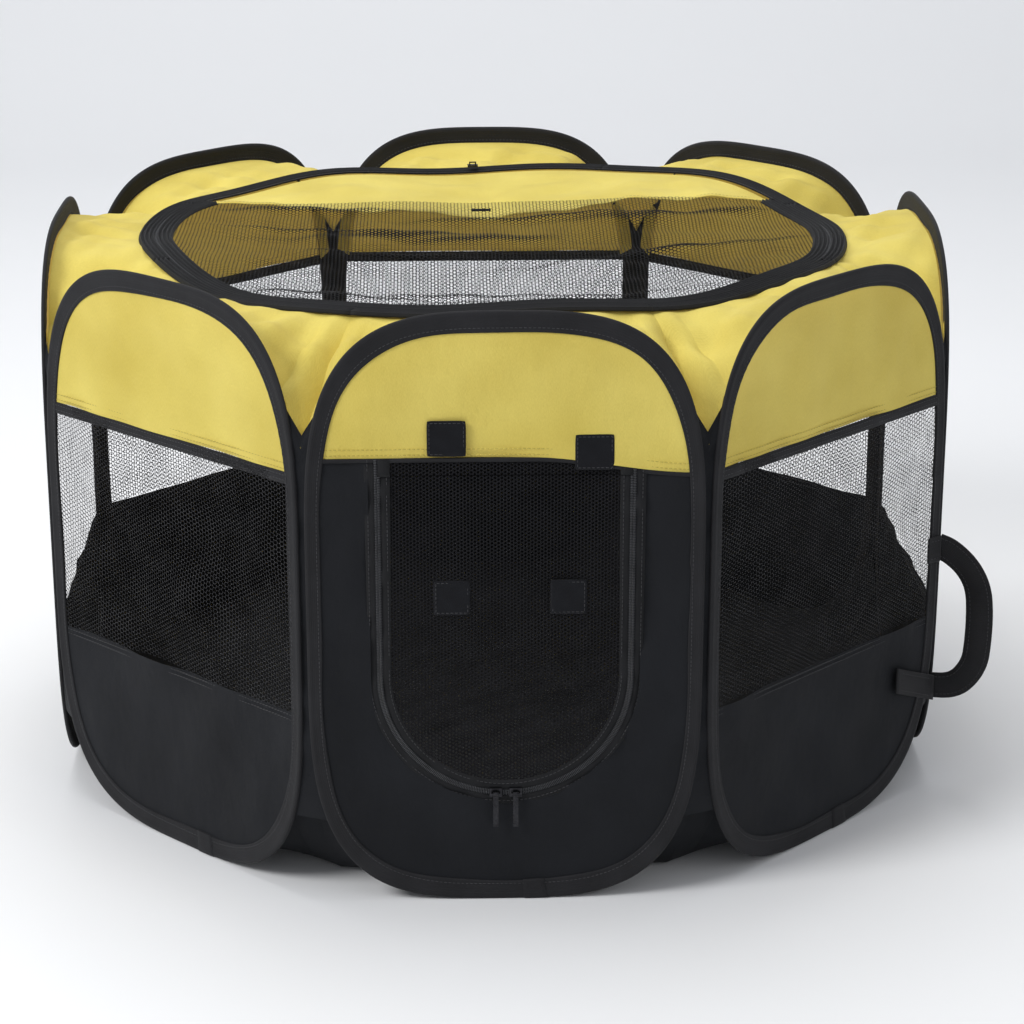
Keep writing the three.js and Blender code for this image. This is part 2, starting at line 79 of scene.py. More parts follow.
HEM_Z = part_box("upper_back")[0].z
SILL_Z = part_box("window_back")[0].z
ZIP_TAPE = 0.012
RING_TAPE = 0.018
DOOR_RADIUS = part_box("door_zip_outer")[1].x - ZIP_TAPE
DOOR_CENTRE_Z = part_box("door_zip_outer")[0].z + DOOR_RADIUS + ZIP_TAPE
DOOR_TOP_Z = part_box("door_mesh")[1].z
RING_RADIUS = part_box("roof_zip_outer")[1].x - RING_TAPE
RING_Z = (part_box("roof_zip_outer")[0].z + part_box("roof_zip_outer")[1].z) / 2
LID_EDGE_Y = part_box("lid_mesh")[1].y
CRESCENT_EDGE_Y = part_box("lid_back_panel")[0].y
LID_SAG = RING_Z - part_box("lid_mesh")[0].z
CORNER_DIP = 0.090  # height of the roof's corners below the top, and of the floor's above the ground
CORNER_TUCK = 0.005  # how far inside the fold line the roof's corners lie
CORNER_POINT = 0.040  # how far the roof's corners run down between two hoops
CORNER_RADIUS = APOTHEM / math.cos(TURN / 2)  # from the pen's middle to the fold lines
DECK_INSET = 0.95  # share of the binding's width at which the roof and the floor are sewn on
DECK_DEPTH = HALF_BINDING + 0.0009
SEWN_ON = 0.7  # share of a zip tape's width at which the cloth beside it ends
UP = (0.0, 0.0, 1.0)
RIGHT = (1.0, 0.0, 0.0)

YARN = 0.0006  # pitch of the plain weave
CRUMPLE = 0.0035  # depth of the woven cloths' creases
FRONT_HEM_RISE = 0.016
SEAM_TAPE = 0.012  # width of the black tape below the hem
FRONT_SEAM_TAPE = 0.004

HOLE_PITCH = 0.0044  # between the mesh's holes
STITCH = (0.0032, 0.0007, 0.0006)  # length, width and height of a stitch
STITCH_PITCH = 0.0042
TOOTH = (0.0009, 0.0032, 0.0012)
TOOTH_PITCH = 0.0016
COIL = 0.0013  # the teeth's distance from a zip's middle line, and their height above it
TAPE_THICKNESS = 0.0016
SEAM_LIFT = 0.0010  # height of a zip tape's stitches above its middle
SLIDER_EDGE = 0.0006  # rounding of the sliders' and pulls' edges


# ---- Materials ----

class Surface:
    """A material whose patterns are laid out in metres on the piece's UV map."""

    def __init__(self, name):
        self.material = bpy.data.materials.new(name)
        self.material.use_nodes = True
        self.tree = self.material.node_tree
        self.shader = self.tree.nodes["Principled BSDF"]
        self.place = self.add("ShaderNodeUVMap").outputs[0]
        split = self.add("ShaderNodeSeparateXYZ", Vector=self.place)
        self.u = split.outputs[0]
        self.v = split.outputs[1]

    def add(self, kind, **inputs):
        node = self.tree.nodes.new(kind)
        for name, value in inputs.items():
            self.feed(node.inputs[name.replace("_", " ")], value)
        return node

    def feed(self, socket, value):
        if isinstance(value, bpy.types.NodeSocket):
            self.tree.links.new(value, socket)
        else:
            socket.default_value = value

    def math(self, operation, *values):
        node = self.tree.nodes.new("ShaderNodeMath")
        node.operation = operation
        for socket, value in zip(node.inputs, values):
            self.feed(socket, value)
        return node.outputs[0]

    def wave(self, coordinate, pitch):
        return self.math("SINE", self.math("MULTIPLY", coordinate, math.tau / pitch))

    def weave(self, pitch):
        """Plain weave: raised where a yarn passes over, at every other crossing."""
        return self.math("MULTIPLY", self.wave(self.u, 2 * pitch), self.wave(self.v, 2 * pitch))

    def noise(self, scale, detail=2.0, stretch=(1, 1, 1)):
        placed = self.add("ShaderNodeMapping", Vector=self.place, Scale=stretch).outputs[0]
        return self.add("ShaderNodeTexNoise", Vector=placed, Scale=scale, Detail=detail).outputs[0]

    def blend(self, *parts):
        """Sum of (value, weight) pairs."""
        total = self.math("MULTIPLY", parts[0][0], parts[0][1])
        for value, weight in parts[1:]:
            total = self.math("MULTIPLY_ADD", value, weight, total)
        return total

    def ramp(self, factor, *stops):
        node = self.add("ShaderNodeValToRGB", Fac=factor)
        elements = node.color_ramp.elements
        while len(elements) < len(stops):
            elements.new(0.5)
        for element, (position, colour) in zip(elements, stops):
            element.position = position
            element.color = (*colour, 1)
        return node.outputs[0]

    def bump(self, height, distance, normal=None):
        node = self.add("ShaderNodeBump", Height=height, Distance=distance, Strength=1.0)
        if normal is not None:
            self.feed(node.inputs["Normal"], normal)
        return node.outputs[0]

    def finish(self, **inputs):
        for name, value in inputs.items():
            self.feed(self.shader.inputs[name.replace("_", " ")], value)
        return self.material


def let_light_through(surface, share, colour, normal):
    """Thin cloth: a share of the light that falls on one side shows on the other."""
    output = surface.tree.nodes["Material Output"]
    through = surface.add("ShaderNodeBsdfTranslucent", Color=(*colour, 1), Normal=normal).outputs[0]
    mix = surface.tree.nodes.new("ShaderNodeMixShader")
    surface.feed(mix.inputs[0], share)
    surface.feed(mix.inputs[1], surface.shader.outputs[0])
    surface.feed(mix.inputs[2], through)
    surface.feed(output.inputs["Surface"], mix.outputs[0])


def woven_cloth(name, dark, light, roughness, sheen, gloss, thin=0.0):
    surface = Surface(name)
    weave = surface.weave(YARN)
    fibre = surface.noise(1400, 2, (1, 0.25, 1))
    patches = surface.noise(9, 4)
    creases = surface.noise(26, 5, (1, 0.6, 1))
    tone = surface.blend((patches, 0.7), (fibre, 0.3), (weave, 0.06))
    rough = surface.blend((fibre, 0.12), (1.0, roughness - 0.06))
    broad = surface.bump(creases, CRUMPLE)
    fine = surface.bump(weave, 0.00012, broad)
    normal = surface.bump(fibre, 0.00015, fine)
    if thin:
        let_light_through(surface, thin, (light[0], light[1] * 0.78, light[2] * 0.7), normal)
    return surface.finish(
        Base_Color=surface.ramp(tone, (0.3, dark), (0.7, light)), Roughness=rough, Normal=normal,
        Sheen_Weight=sheen, Sheen_Roughness=0.5, Specular_IOR_Level=gloss,
    )


def knitted_mesh(name, dark, light, hole, pitch=HOLE_PITCH):
    """Threads round holes in staggered rows: three sets of waves at 60 degrees, cut at a height."""
    surface = Surface(name)
    number = 4 * math.pi / math.sqrt(3) / pitch
    half = surface.math("MULTIPLY", surface.u, number / 2)
    rise = surface.math("MULTIPLY", surface.v, number * math.sqrt(3) / 2)
    waves = surface.blend(
        (surface.math("COSINE", surface.math("MULTIPLY", surface.u, number)), 1.0),
        (surface.math("COSINE", surface.math("ADD", half, rise)), 1.0),
        (surface.math("COSINE", surface.math("SUBTRACT", half, rise)), 1.0),
    )
    crease = surface.tree.nodes.new("ShaderNodeAttribute")
    crease.attribute_name = "crease"
    slack = surface.noise(30, 3)
    level = surface.blend((slack, 0.5), (crease.outputs["Fac"], 2.2), (1.0, hole - 0.25))
    open_share = surface.math("MULTIPLY_ADD", surface.math("SUBTRACT", waves, level), 2.5, 0.5)
    open_share.node.use_clamp = True
    fuzz = surface.noise(2500, 2)
    tone = surface.blend((fuzz, 0.6), (slack, 0.4))
    return surface.finish(
        Base_Color=surface.ramp(tone, (0.3, dark), (0.7, light)),
        Alpha=surface.math("SUBTRACT", 1.0, open_share), Roughness=0.7, Specular_IOR_Level=0.12,
        Normal=surface.bump(surface.math("MULTIPLY", waves, -1.0), 0.0004),
    )


def ribbed_tape(name, dark, light, rib=0.0011):
    surface = Surface(name)
    ribs = surface.wave(surface.u, rib)
    edge_yarn = surface.wave(surface.v, rib * 1.6)
    fuzz = surface.noise(1700, 3)
    wear = surface.noise(22, 4)
    tone = surface.blend((wear, 0.65), (fuzz, 0.35), (ribs, 0.05))
    relief = surface.blend((ribs, 0.5), (edge_yarn, 0.25), (fuzz, 0.8))
    return surface.finish(
        Base_Color=surface.ramp(tone, (0.3, dark), (0.72, light)),
        Roughness=surface.blend((fuzz, 0.14), (1.0, 0.65)),
        Normal=surface.bump(relief, 0.0002, surface.bump(wear, 0.0015)),
        Sheen_Weight=0.04, Sheen_Roughness=0.45, Specular_IOR_Level=0.25,
    )


def hook_tape(name, dark, light):
    surface = Surface(name)
    loops = surface.noise(1300, 4)
    nap = surface.noise(60, 3)
    tone = surface.blend((loops, 0.6), (nap, 0.4))
    return surface.finish(
        Base_Color=surface.ramp(tone, (0.3, dark), (0.7, light)),
        Roughness=0.95, Normal=surface.bump(loops, 0.0009), Sheen_Weight=0.06, Sheen_Roughness=0.6,
        Specular_IOR_Level=0.1,
    )


def plain_finish(name, dark, light, roughness, metallic=0.0):
    """Thread, nylon or metal: small parts on which only grain and wear show."""
    surface = Surface(name)
    place = surface.add("ShaderNodeTexCoord").outputs["Object"]
    fine = surface.add("ShaderNodeTexNoise", Vector=place, Scale=700, Detail=3.0).outputs[0]
    worn = surface.add("ShaderNodeTexNoise", Vector=place, Scale=87.5, Detail=4.0).outputs[0]
    mixed = surface.blend((fine, 0.4), (worn, 0.6))
    return surface.finish(
        Base_Color=surface.ramp(mixed, (0.3, dark), (0.7, light)),
        Roughness=surface.blend((mixed, 0.25), (1.0, roughness - 0.12)), Metallic=metallic,
        Normal=surface.bump(fine, 0.0001),
    )


YELLOW = woven_cloth("yellow_cloth", (0.66, 0.53, 0.095), (0.89, 0.755, 0.185), 0.66, 0.06, 0.25, 0.22)
BLACK = woven_cloth("black_cloth", (0.0052, 0.0058, 0.0074), (0.0108, 0.0120, 0.0150), 0.72, 0.02, 0.18)
MESH = knitted_mesh("black_mesh", (0.013, 0.013, 0.014), (0.034, 0.034, 0.036), -0.93)
LID_MESH = knitted_mesh("lid_mesh_fabric", (0.003, 0.003, 0.0035), (0.009, 0.009, 0.010), -0.75)
DOOR_MESH = knitted_mesh("door_mesh_fabric", (0.004, 0.004, 0.005), (0.012, 0.012, 0.014), 0.2, 0.0036)
BINDING = ribbed_tape("black_binding", (0.0070, 0.0070, 0.0082), (0.0170, 0.0170, 0.0195))
ZIP = ribbed_tape("zip_tape", (0.0036, 0.0038, 0.0046), (0.0105, 0.0110, 0.0130), rib=0.0008)
WEBBING = ribbed_tape("webbing", (0.006, 0.006, 0.007), (0.018, 0.018, 0.020), rib=0.0019)
HOOK = hook_tape("hook_tape", (0.0036, 0.0038, 0.0050), (0.0110, 0.0118, 0.0150))
# Teeth: dark nylon whose colour is lifted above the tape's as a painted highlight along the coil.
TEETH = plain_finish("nylon_teeth_painted_highlight", (0.020, 0.021, 0.024), (0.060, 0.062, 0.068), 0.34)
METAL = plain_finish("dark_metal", (0.016, 0.016, 0.018), (0.055, 0.055, 0.060), 0.36, metallic=1.0)
STEEL = plain_finish("spring_steel", (0.22, 0.22, 0.23), (0.42, 0.42, 0.43), 0.34, metallic=1.0)
BLACK_THREAD = plain_finish("black_thread", (0.018, 0.018, 0.020), (0.050, 0.050, 0.055), 0.6)
YELLOW_THREAD = plain_finish("yellow_thread", (0.42, 0.32, 0.05), (0.62, 0.49, 0.09), 0.55)


# ---- Meshes ----

def link(name, data):
    item = bpy.data.objects.new(name, data)
    bpy.context.scene.collection.objects.link(item)
    return item


def new_piece(name, points, faces, material):
    mesh = bpy.data.meshes.new(name)
    mesh.from_pydata(points.reshape(-1, 3).tolist(), [], faces.tolist())
    mesh.polygons.foreach_set("use_smooth", np.ones(len(mesh.polygons), bool))
    mesh.materials.append(material)
    piece = link(name, mesh)
    return piece


def quads(grid):
    return np.stack([grid[:-1, :-1], grid[:-1, 1:], grid[1:, 1:], grid[1:, :-1]], -1).reshape(-1, 4)


def sheet_piece(name, points, uv, material):
    """Surface on a grid of points. It closes on itself the way in which the uv grid is one longer."""
    rows, columns = points.shape[:2]
    long_rows, long_columns = uv.shape[:2]
    row = (np.arange(long_rows) % rows)[:, None]
    column = (np.arange(long_columns) % columns)[None, :]
    index = row * columns + column
    corner = np.arange(long_rows * long_columns).reshape(long_rows, long_columns)
    piece = new_piece(name, points, quads(index), material)
    layer = piece.data.uv_layers.new(name="UVMap")
    places = uv.reshape(-1, 2)[quads(corner).reshape(-1)]
    layer.data.foreach_set("uv", places.astype(np.float32).reshape(-1))
    return piece


def uv_grid(u, v):
    return np.stack(np.meshgrid(u, v), -1)


def stand_in(piece, node, body):
    """The piece is drawn in place of one of the model's nodes, and moves with a body."""
    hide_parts(node)
    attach(piece, body)


def unit(vectors):
    return vectors / np.maximum(np.linalg.norm(vectors, axis=-1, keepdims=True), 1e-12)


def distances(path):
    return np.concatenate([[0.0], np.cumsum(np.linalg.norm(np.diff(path, axis=0), axis=1))])


def sample_like(values, path, at):
    """Values given at a path's points, taken at distances along it."""
    length = distances(path)
    return np.stack([np.interp(at, length, values[:, axis]) for axis in range(values.shape[1])], 1)


def sample(path, at):
    return sample_like(path, path, at)


def resample(path, count):
    return sample(path, np.linspace(0, distances(path)[-1], count))


FLAT_TAPE = np.array([(-0.5, -0.2), (-0.47, -0.5), (0.47, -0.5), (0.5, -0.2),
                      (0.5, 0.2), (0.47, 0.5), (-0.47, 0.5), (-0.5, 0.2)])


def ridged_tape(ridges, height):
    """Section of a tape whose upper face has lengthwise ridges, as bunched layers have."""
    across = np.linspace(0.49, -0.49, 8 * ridges + 1)
    top = 0.5 + height * np.sin((0.5 - across) * math.pi * ridges) ** 2
    return np.vstack([FLAT_TAPE[:4], np.stack([across, top], 1)])


RIDGED_TAPE = ridged_tape(4, 1.9)


def ribbon_piece(name, path, across, normal, width, thickness, material, section=FLAT_TAPE):
    """Flat tape with closed ends, along a path; across and normal are its unit directions."""
    across = np.broadcast_to(across, path.shape)
    normal = np.broadcast_to(normal, path.shape)
    profile = section * (width, thickness)
    ends = np.concatenate([[0.0], np.ones(len(path)), [0.0]])
    line = np.vstack([path[:1], path, path[-1:]])
    side = np.vstack([across[:1], across, across[-1:]])
    face = np.vstack([normal[:1], normal, normal[-1:]])
    points = line + ends[:, None] * (profile[:, 0, None, None] * side + profile[:, 1, None, None] * face)
    around = distances(np.vstack([profile, profile[:1]]))
    return sheet_piece(name, points, uv_grid(distances(line), around), material)


def marks_on(path, normal, pitch, size, shift=0.0):
    """Places and scaled axes of small marks at an even pitch along a path on a surface."""
    total = distances(path)[-1]
    count = max(int(total / pitch), 1)
    at = (np.arange(count) + 0.5 + shift) * total / count
    place = sample(path, at)
    ahead = unit(sample(path, at + pitch / 4) - sample(path, at - pitch / 4))
    if np.ndim(normal) == 1:
        face = np.broadcast_to(normal, place.shape)
    else:
        face = unit(sample_like(normal, path, at))
    side = np.cross(face, ahead)
    return place, np.stack([ahead * size[0], side * size[1], face * size[2]], 1)


def stitches_on(path, normal):
    return marks_on(path, np.asarray(normal), STITCH_PITCH, STITCH)


def teeth_on(path, normal, edge):
    """Teeth of one side of a zip; the two sides are shifted so that they interlock."""
    return marks_on(path, np.asarray(normal), TOOTH_PITCH, TOOTH, 0.25 * edge)


def marks_piece(name, rows, material):
    """One mesh of many small six-sided spindles, such as stitches or teeth."""
    places = np.vstack([place for place, _ in rows])
    axes = np.vstack([axis for _, axis in rows])
    ring = [(0.0, math.cos(turn) / 2, math.sin(turn) / 2) for turn in np.arange(6) * math.tau / 6]
    shape = np.array([(-0.5, 0, 0), (0.5, 0, 0)] + [(x, b, c) for x in (-0.32, 0.32) for _, b, c in ring])
    steps = [(i, (i + 1) % 6) for i in range(6)]
    faces = [(0, 2 + b, 2 + a) for a, b in steps]
    faces += [(1, 8 + a, 8 + b) for a, b in steps]
    faces += [(2 + a, 2 + b, 8 + b) for a, b in steps]
    faces += [(2 + a, 8 + b, 8 + a) for a, b in steps]
    points = places[:, None, :] + np.einsum("vi,nij->nvj", shape, axes)
    index = np.array(faces)[None] + len(shape) * np.arange(len(places))[:, None, None]
    return new_piece(name, points, index.reshape(-1, 3), material)


def ripple(a, b, seed, wavelength):
    """Uneven soft waves over two coordinates, mostly between -1 and 1."""
    chance = np.random.default_rng(seed)
    total = np.zeros(np.broadcast(a, b).shape)
    count = 7
    for _ in range(count):
        heading = chance.uniform(0, math.tau)
        number = math.tau / (wavelength * chance.uniform(0.6, 1.7))
        along = a * math.cos(heading) + b * math.sin(heading)
        total += np.sin(number * along + chance.uniform(0, math.tau))
    return total / math.sqrt(count)


def smooth(share):
    return share * share * (3 - 2 * share)


# ---- A panel's own places ----

def on_panel(side, x, depth, z):
    """Points of a panel; depth runs inwards from the middle of its cloth."""
    x, depth, z = np.broadcast_arrays(x, depth, z)
    cos, sin = math.cos(side * TURN), math.sin(side * TURN)
    y = depth - APOTHEM
    return np.stack([x * cos - y * sin, x * sin + y * cos, z], -1)


def line_on_panel(side, line, depth):
    """A line of (x, z) laid on a panel."""
    return on_panel(side, line[:, 0], depth, line[:, 1])


def outward(side):
    return np.array([math.sin(side * TURN), -math.cos(side * TURN), 0.0])


def half_width(z, share):
    rise = np.clip((np.abs(z - MIDDLE_Z) - STRAIGHT) / (ARCH_RISE - share * BINDING_ARCH), 0, 1)
    return (HALF_WIDTH - share * BINDING_SIDE) * (1 - rise ** ROUNDNESS) ** (1 / ROUNDNESS)


def arch_z(x, share):
    reach = np.clip(np.abs(x) / (HALF_WIDTH - share * BINDING_SIDE), 0, 1)
    curve = (1 - reach ** ROUNDNESS) ** (1 / ROUNDNESS)
    return MIDDLE_Z + STRAIGHT + (ARCH_RISE - share * BINDING_ARCH) * curve


def hoop_outline(share):
    """Closed outline (x, z) at a share of the binding's width in from the hoop's edge."""
    turn = np.linspace(0, math.pi, 400)
    wide = np.abs(np.cos(turn)) ** (2 / ROUNDNESS)
    high = np.abs(np.sin(turn)) ** (2 / ROUNDNESS)
    x = np.sign(np.cos(turn)) * wide * (HALF_WIDTH - share * BINDING_SIDE)
    rise = high * (ARCH_RISE - share * BINDING_ARCH) + STRAIGHT
    top = np.stack([x, MIDDLE_Z + rise], 1)
    bottom = np.stack([-x, MIDDLE_Z - rise], 1)
    return np.vstack([top, bottom, top[:1]])


def hoop_loop(share, at):
    """Points (x, z) of the outline at a share, at distances measured along the middle of the binding."""
    return sample_like(hoop_outline(share), hoop_outline(0.5), at)


HOOP_LENGTH = distances(hoop_outline(0.5))[-1]


def fade(value, low, high, margin):
    """0 at the two limits, 1 at a margin inside them."""
    return smooth(np.clip(np.minimum(value - low, high - value) / margin, 0, 1))


# ---- Bindings ----

# Half of the folded tape's section: share of its width, and half its thickness there.
FOLD = [
    (0.0, 0.0), (0.015, 0.0011), (0.06, 0.0018), (0.14, 0.0023), (0.23, 0.0024), (0.33, 0.0021),
    (0.43, 0.0017), (0.58, 0.0016), (0.72, 0.00145), (0.80, 0.00125), (0.88, 0.00145), (0.97, 0.0014),
    (1.0, 0.0010),
]
SECTION = FOLD + [(share, -offset) for share, offset in reversed(FOLD[1:])]
STITCH_SHARE = 0.80
STITCH_DEPTH = 0.00135  # from the middle of the binding, on both faces
JOIN_HALF = 0.011  # half length of the sleeve where the tape's ends overlap


def binding_points(side, at, swell=0.0, grow=0.0):
    """Section points round a stretch of the hoop; swell thickens the tape and grow widens it."""
    pucker = 1 + 0.10 * np.sin(at * math.tau / 0.0083 + 2 * ripple(at, 0 * at, side, 0.09))
    waver = 0.05 * ripple(at, 0 * at, side + 50, 0.12)
    rows = []
    for share, offset in SECTION:
        line = hoop_loop(share, at)
        inner = hoop_loop(share + 0.1, at)
        line = line + (inner - line) * 10 * (waver * share + grow * (share - 0.3))[:, None]
        depth = -offset * np.where(share > 0.5, pucker, 1) - np.sign(offset) * swell
        rows.append(line_on_panel(side, line, depth))
    return np.array(rows)


def section_distances():
    flat = np.array([(share * BINDING_SIDE, offset) for share, offset in SECTION + SECTION[:1]])
    return distances(flat)


def add_binding(side, name):
    columns = 340
    at = np.arange(columns + 1) * HOOP_LENGTH / columns
    uv = uv_grid(at + side, section_distances())
    piece = sheet_piece(f"binding_tape_{name}", binding_points(side, at[:-1]), uv, BINDING)
    stand_in(piece, f"binding_{name}", f"panel_{name}")
    add_binding_stitches(side, name)
    add_binding_join(side, name)


def add_binding_stitches(side, name):
    at = np.linspace(0, HOOP_LENGTH, 800)
    line = hoop_loop(STITCH_SHARE, at)
    rows = []
    for face in (-1, 1):
        path = line_on_panel(side, line, face * STITCH_DEPTH)
        rows.append(stitches_on(path, -face * outward(side)))
    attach(marks_piece(f"binding_stitches_{name}", rows, BLACK_THREAD), f"panel_{name}")


def add_binding_join(side, name):
    """Where the tape's two ends overlap, under the hoop: a short raised sleeve."""
    middle = HOOP_LENGTH * 0.75 - 0.022 + 0.011 * math.sin(3 * side)
    end = JOIN_HALF - 0.0006
    at = middle + np.array([-JOIN_HALF, -end, -JOIN_HALF / 2, 0, JOIN_HALF / 2, end, JOIN_HALF])
    swell = np.array([0.0, 0.0006, 0.0007, 0.0007, 0.0007, 0.0006, 0.0])
    grow = np.array([0.0, 0.05, 0.06, 0.06, 0.06, 0.05, 0.0])
    points = binding_points(side, at, swell, grow)
    piece = sheet_piece(f"binding_join_{name}", points, uv_grid(at, section_distances()), BINDING)
    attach(piece, f"panel_{name}")


# ---- Cloths of the panels ----

# How far each cloth strays from its plane, and the length of its waves.
UPPER_SLACK = (0.0016, 0.11)
WINDOW_SLACK = (0.0028, 0.12)
LOWER_SLACK = (0.0022, 0.12)
SURROUND_SLACK = (0.0020, 0.10)
HEM_ROWS = (0.0030, 0.0085)  # rows of stitches above the hem
TAPE_ROWS = (-0.0030, -0.0078)  # and on the seam tape below it
SILL_ROWS = (-0.0025, -0.0075)


def spread(count):
    """Steps from -1 to 1, closer together at the ends, where the arches are steep."""
    return np.sin(np.linspace(-1, 1, count) * math.pi / 2) * 0.9995


def panel_cloth(side, x, z, slack, seed):
    """Points and UVs of a cloth in the panel's plane, with soft waves that die out at its edges."""
    x, z = np.broadcast_arrays(x, z)
    arch = arch_z(x, 0.8)
    edge = np.minimum(half_width(z, 0.8) - np.abs(x), np.minimum(arch - z, z - (HEIGHT - arch)))
    amount, wavelength = slack
    depth = amount * ripple(x, z, seed, wavelength) * smooth(np.clip(edge / 0.035, 0, 1))
    return on_panel(side, x, depth, z), np.stack([x + 2.3 * seed, z], -1)


def add_cloth(side, part, fabric, x, z, slack, seed, material):
    """One of a panel's cloths, in place of a node of the model."""
    name = PANELS[side]
    points, uv = panel_cloth(side, x, z, slack, seed)
    piece = sheet_piece(f"{part}_{fabric}_{name}", points, uv, material)
    stand_in(piece, f"{part}_{name}", f"panel_{name}")


def rows_between(bottom, top, count):
    share = np.linspace(0, 1, count)[:, None]
    return bottom + (top - bottom) * share


def add_facing(side, name):
    """Yellow cloth over the inner side of the binding, from the hem up to the roof."""
    at = np.linspace(0, HOOP_LENGTH, 700)
    x, z = hoop_loop(0.5, at).T
    depth = HALF_BINDING + 0.0006
    for hand, sign in (("left", -1), ("right", 1)):
        chosen = (x * sign > 0.08) & (z > HEM_Z) & (z < HEIGHT - CORNER_DIP)
        edges = [hoop_loop(share, at[chosen]) for share in (0.12, 0.5, 0.9, 1.15)]
        points = np.stack([line_on_panel(side, edge, depth) for edge in edges])
        uv = uv_grid(at[chosen], np.linspace(0, 0.015, 4))
        piece = sheet_piece(f"facing_{name}_{hand}", points, uv, YELLOW)
        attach(piece, f"panel_{name}")


def hem_line(side, x):
    """Height of the yellow cloth's lower edge; the front one is pulled up, except at its right end."""
    if PANELS[side] != "front":
        return np.full_like(x, HEM_Z)
    return HEM_Z + FRONT_HEM_RISE * smooth(np.clip((half_width(HEM_Z, TUCK) - x) / 0.15, 0, 1))


def add_upper(side, name):
    x = (spread(75) * half_width(HEM_Z + FRONT_HEM_RISE / 2, TUCK))[None, :]
    z = rows_between(hem_line(side, x), arch_z(x, TUCK), 30)
    add_cloth(side, "upper", "cloth", x, z, UPPER_SLACK, 100 + side, YELLOW)
    add_facing(side, name)
    add_hem(side, name)


def add_hem(side, name):
    """Stitches over the yellow cloth's hem, and the black tape that joins the cloth below it."""
    x = np.linspace(-1, 1, 60) * half_width(HEM_Z, 0.7)
    hem = hem_line(side, x)
    low = hem - (FRONT_SEAM_TAPE if name == "front" else SEAM_TAPE)
    path = on_panel(side, x, 0.0003 * ripple(x, 0 * x, 140 + side, 0.03), (hem + low) / 2)
    section = ((0, 0), (0.04, -0.0010), (0.96, -0.0011), (1, 0), (0.96, 0.0011), (0.04, 0.0010))
    points = np.stack([on_panel(side, x, depth, low + (hem - low) * share) for share, depth in section])
    points += path - on_panel(side, x, 0, (hem + low) / 2)
    uv = uv_grid(distances(path), np.array([0, 0.001, 0.009, 0.01, 0.011, 0.019, 0.02]))
    piece = sheet_piece(f"seam_tape_{name}", points, uv, BINDING)
    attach(piece, f"panel_{name}")
    add_seam_stitches(side, name, "hem", HEM_ROWS, YELLOW_THREAD, 0.0006)
    if name != "front":
        add_seam_stitches(side, name, "tape", TAPE_ROWS, BLACK_THREAD, 0.0012)


def add_seam_stitches(side, name, label, offsets, material, depth, line=hem_line):
    rows = []
    for offset in offsets:
        x = np.linspace(-1, 1, 60) * half_width(HEM_Z, 0.9)
        z = line(side, x) + offset
        for face in (-1, 1):
            rows.append(stitches_on(on_panel(side, x, face * depth, z), -face * outward(side)))
    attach(marks_piece(f"{label}_stitches_{name}", rows, material), f"panel_{name}")


def sill_line(side, x):
    return np.full_like(x, SILL_Z)


def add_window(side):
    z = np.linspace(SILL_Z, HEM_Z, 46)[:, None]
    x = np.linspace(-1, 1, 64)[None, :] * half_width(z, TUCK)
    add_cloth(side, "window", "mesh", x, z, WINDOW_SLACK, 200 + side, MESH)


def add_lower(side, name):
    x = (spread(75) * half_width(SILL_Z, TUCK))[None, :]
    z = rows_between(HEIGHT - arch_z(x, TUCK), np.full_like(x, SILL_Z), 34)
    add_cloth(side, "lower", "cloth", x, z, LOWER_SLACK, 300 + side, BLACK)
    add_seam_stitches(side, name, "sill", SILL_ROWS, BLACK_THREAD, 0.0006, line=sill_line)


# ---- Door ----

DOOR_SEAM = 0.0088  # from the zip's middle line to the stitches on its tapes


def door_outline(radius, tops, count):
    """U of the door (x, z), from its top left corner round the bottom to its top right corner."""
    turn = np.linspace(math.pi, math.tau, 90)
    arc = np.stack([radius * np.cos(turn), DOOR_CENTRE_Z + radius * np.sin(turn)], 1)
    return resample(np.vstack([[-radius, tops[0]], arc, [radius, tops[1]]]), count)


def hem_above(x):
    return float(hem_line(0, np.array([x]))[0])


# Heights (left, right) at which the door's zip and its flap end.
ZIP_TOPS = (hem_above(-DOOR_RADIUS), hem_above(DOOR_RADIUS) - 0.001)
FLAP_TOPS = (DOOR_TOP_Z, DOOR_TOP_Z)


def reach_to_hoop(line):
    """The hoop's point beyond each point round the door: level with it, or further out lower down."""
    outline = hoop_outline(TUCK)
    heading = np.arctan2(outline[:, 1] - DOOR_CENTRE_Z, outline[:, 0]) % math.tau
    order = np.argsort(heading)
    radius = np.hypot(outline[:, 0], outline[:, 1] - DOOR_CENTRE_Z)
    turn = np.arctan2(line[:, 1] - DOOR_CENTRE_Z, line[:, 0]) % math.tau
    far = np.interp(turn, heading[order], radius[order])
    below = np.stack([far * np.cos(turn), DOOR_CENTRE_Z + far * np.sin(turn)], 1)
    level = np.stack([np.sign(line[:, 0]) * half_width(line[:, 1], TUCK), line[:, 1]], 1)
    return np.where((line[:, 1] < DOOR_CENTRE_Z)[:, None], below, level)


def add_door_surround():
    inner = door_outline(DOOR_RADIUS + ZIP_TAPE * SEWN_ON, ZIP_TOPS, 170)
    outer = reach_to_hoop(inner)
    share = np.linspace(0, 1, 18)[:, None]
    x = inner[:, 0] + (outer[:, 0] - inner[:, 0]) * share
    z = inner[:, 1] + (outer[:, 1] - inner[:, 1]) * share
    points, uv = panel_cloth(0, x, z, SURROUND_SLACK, seed=400)
    points[..., 1] += 0.0008 * np.clip((z - HEM_Z + 0.002) / 0.002, 0, 1)
    piece = sheet_piece("lower_cloth_front", points, uv, BLACK)
    stand_in(piece, "lower_front", "panel_front")


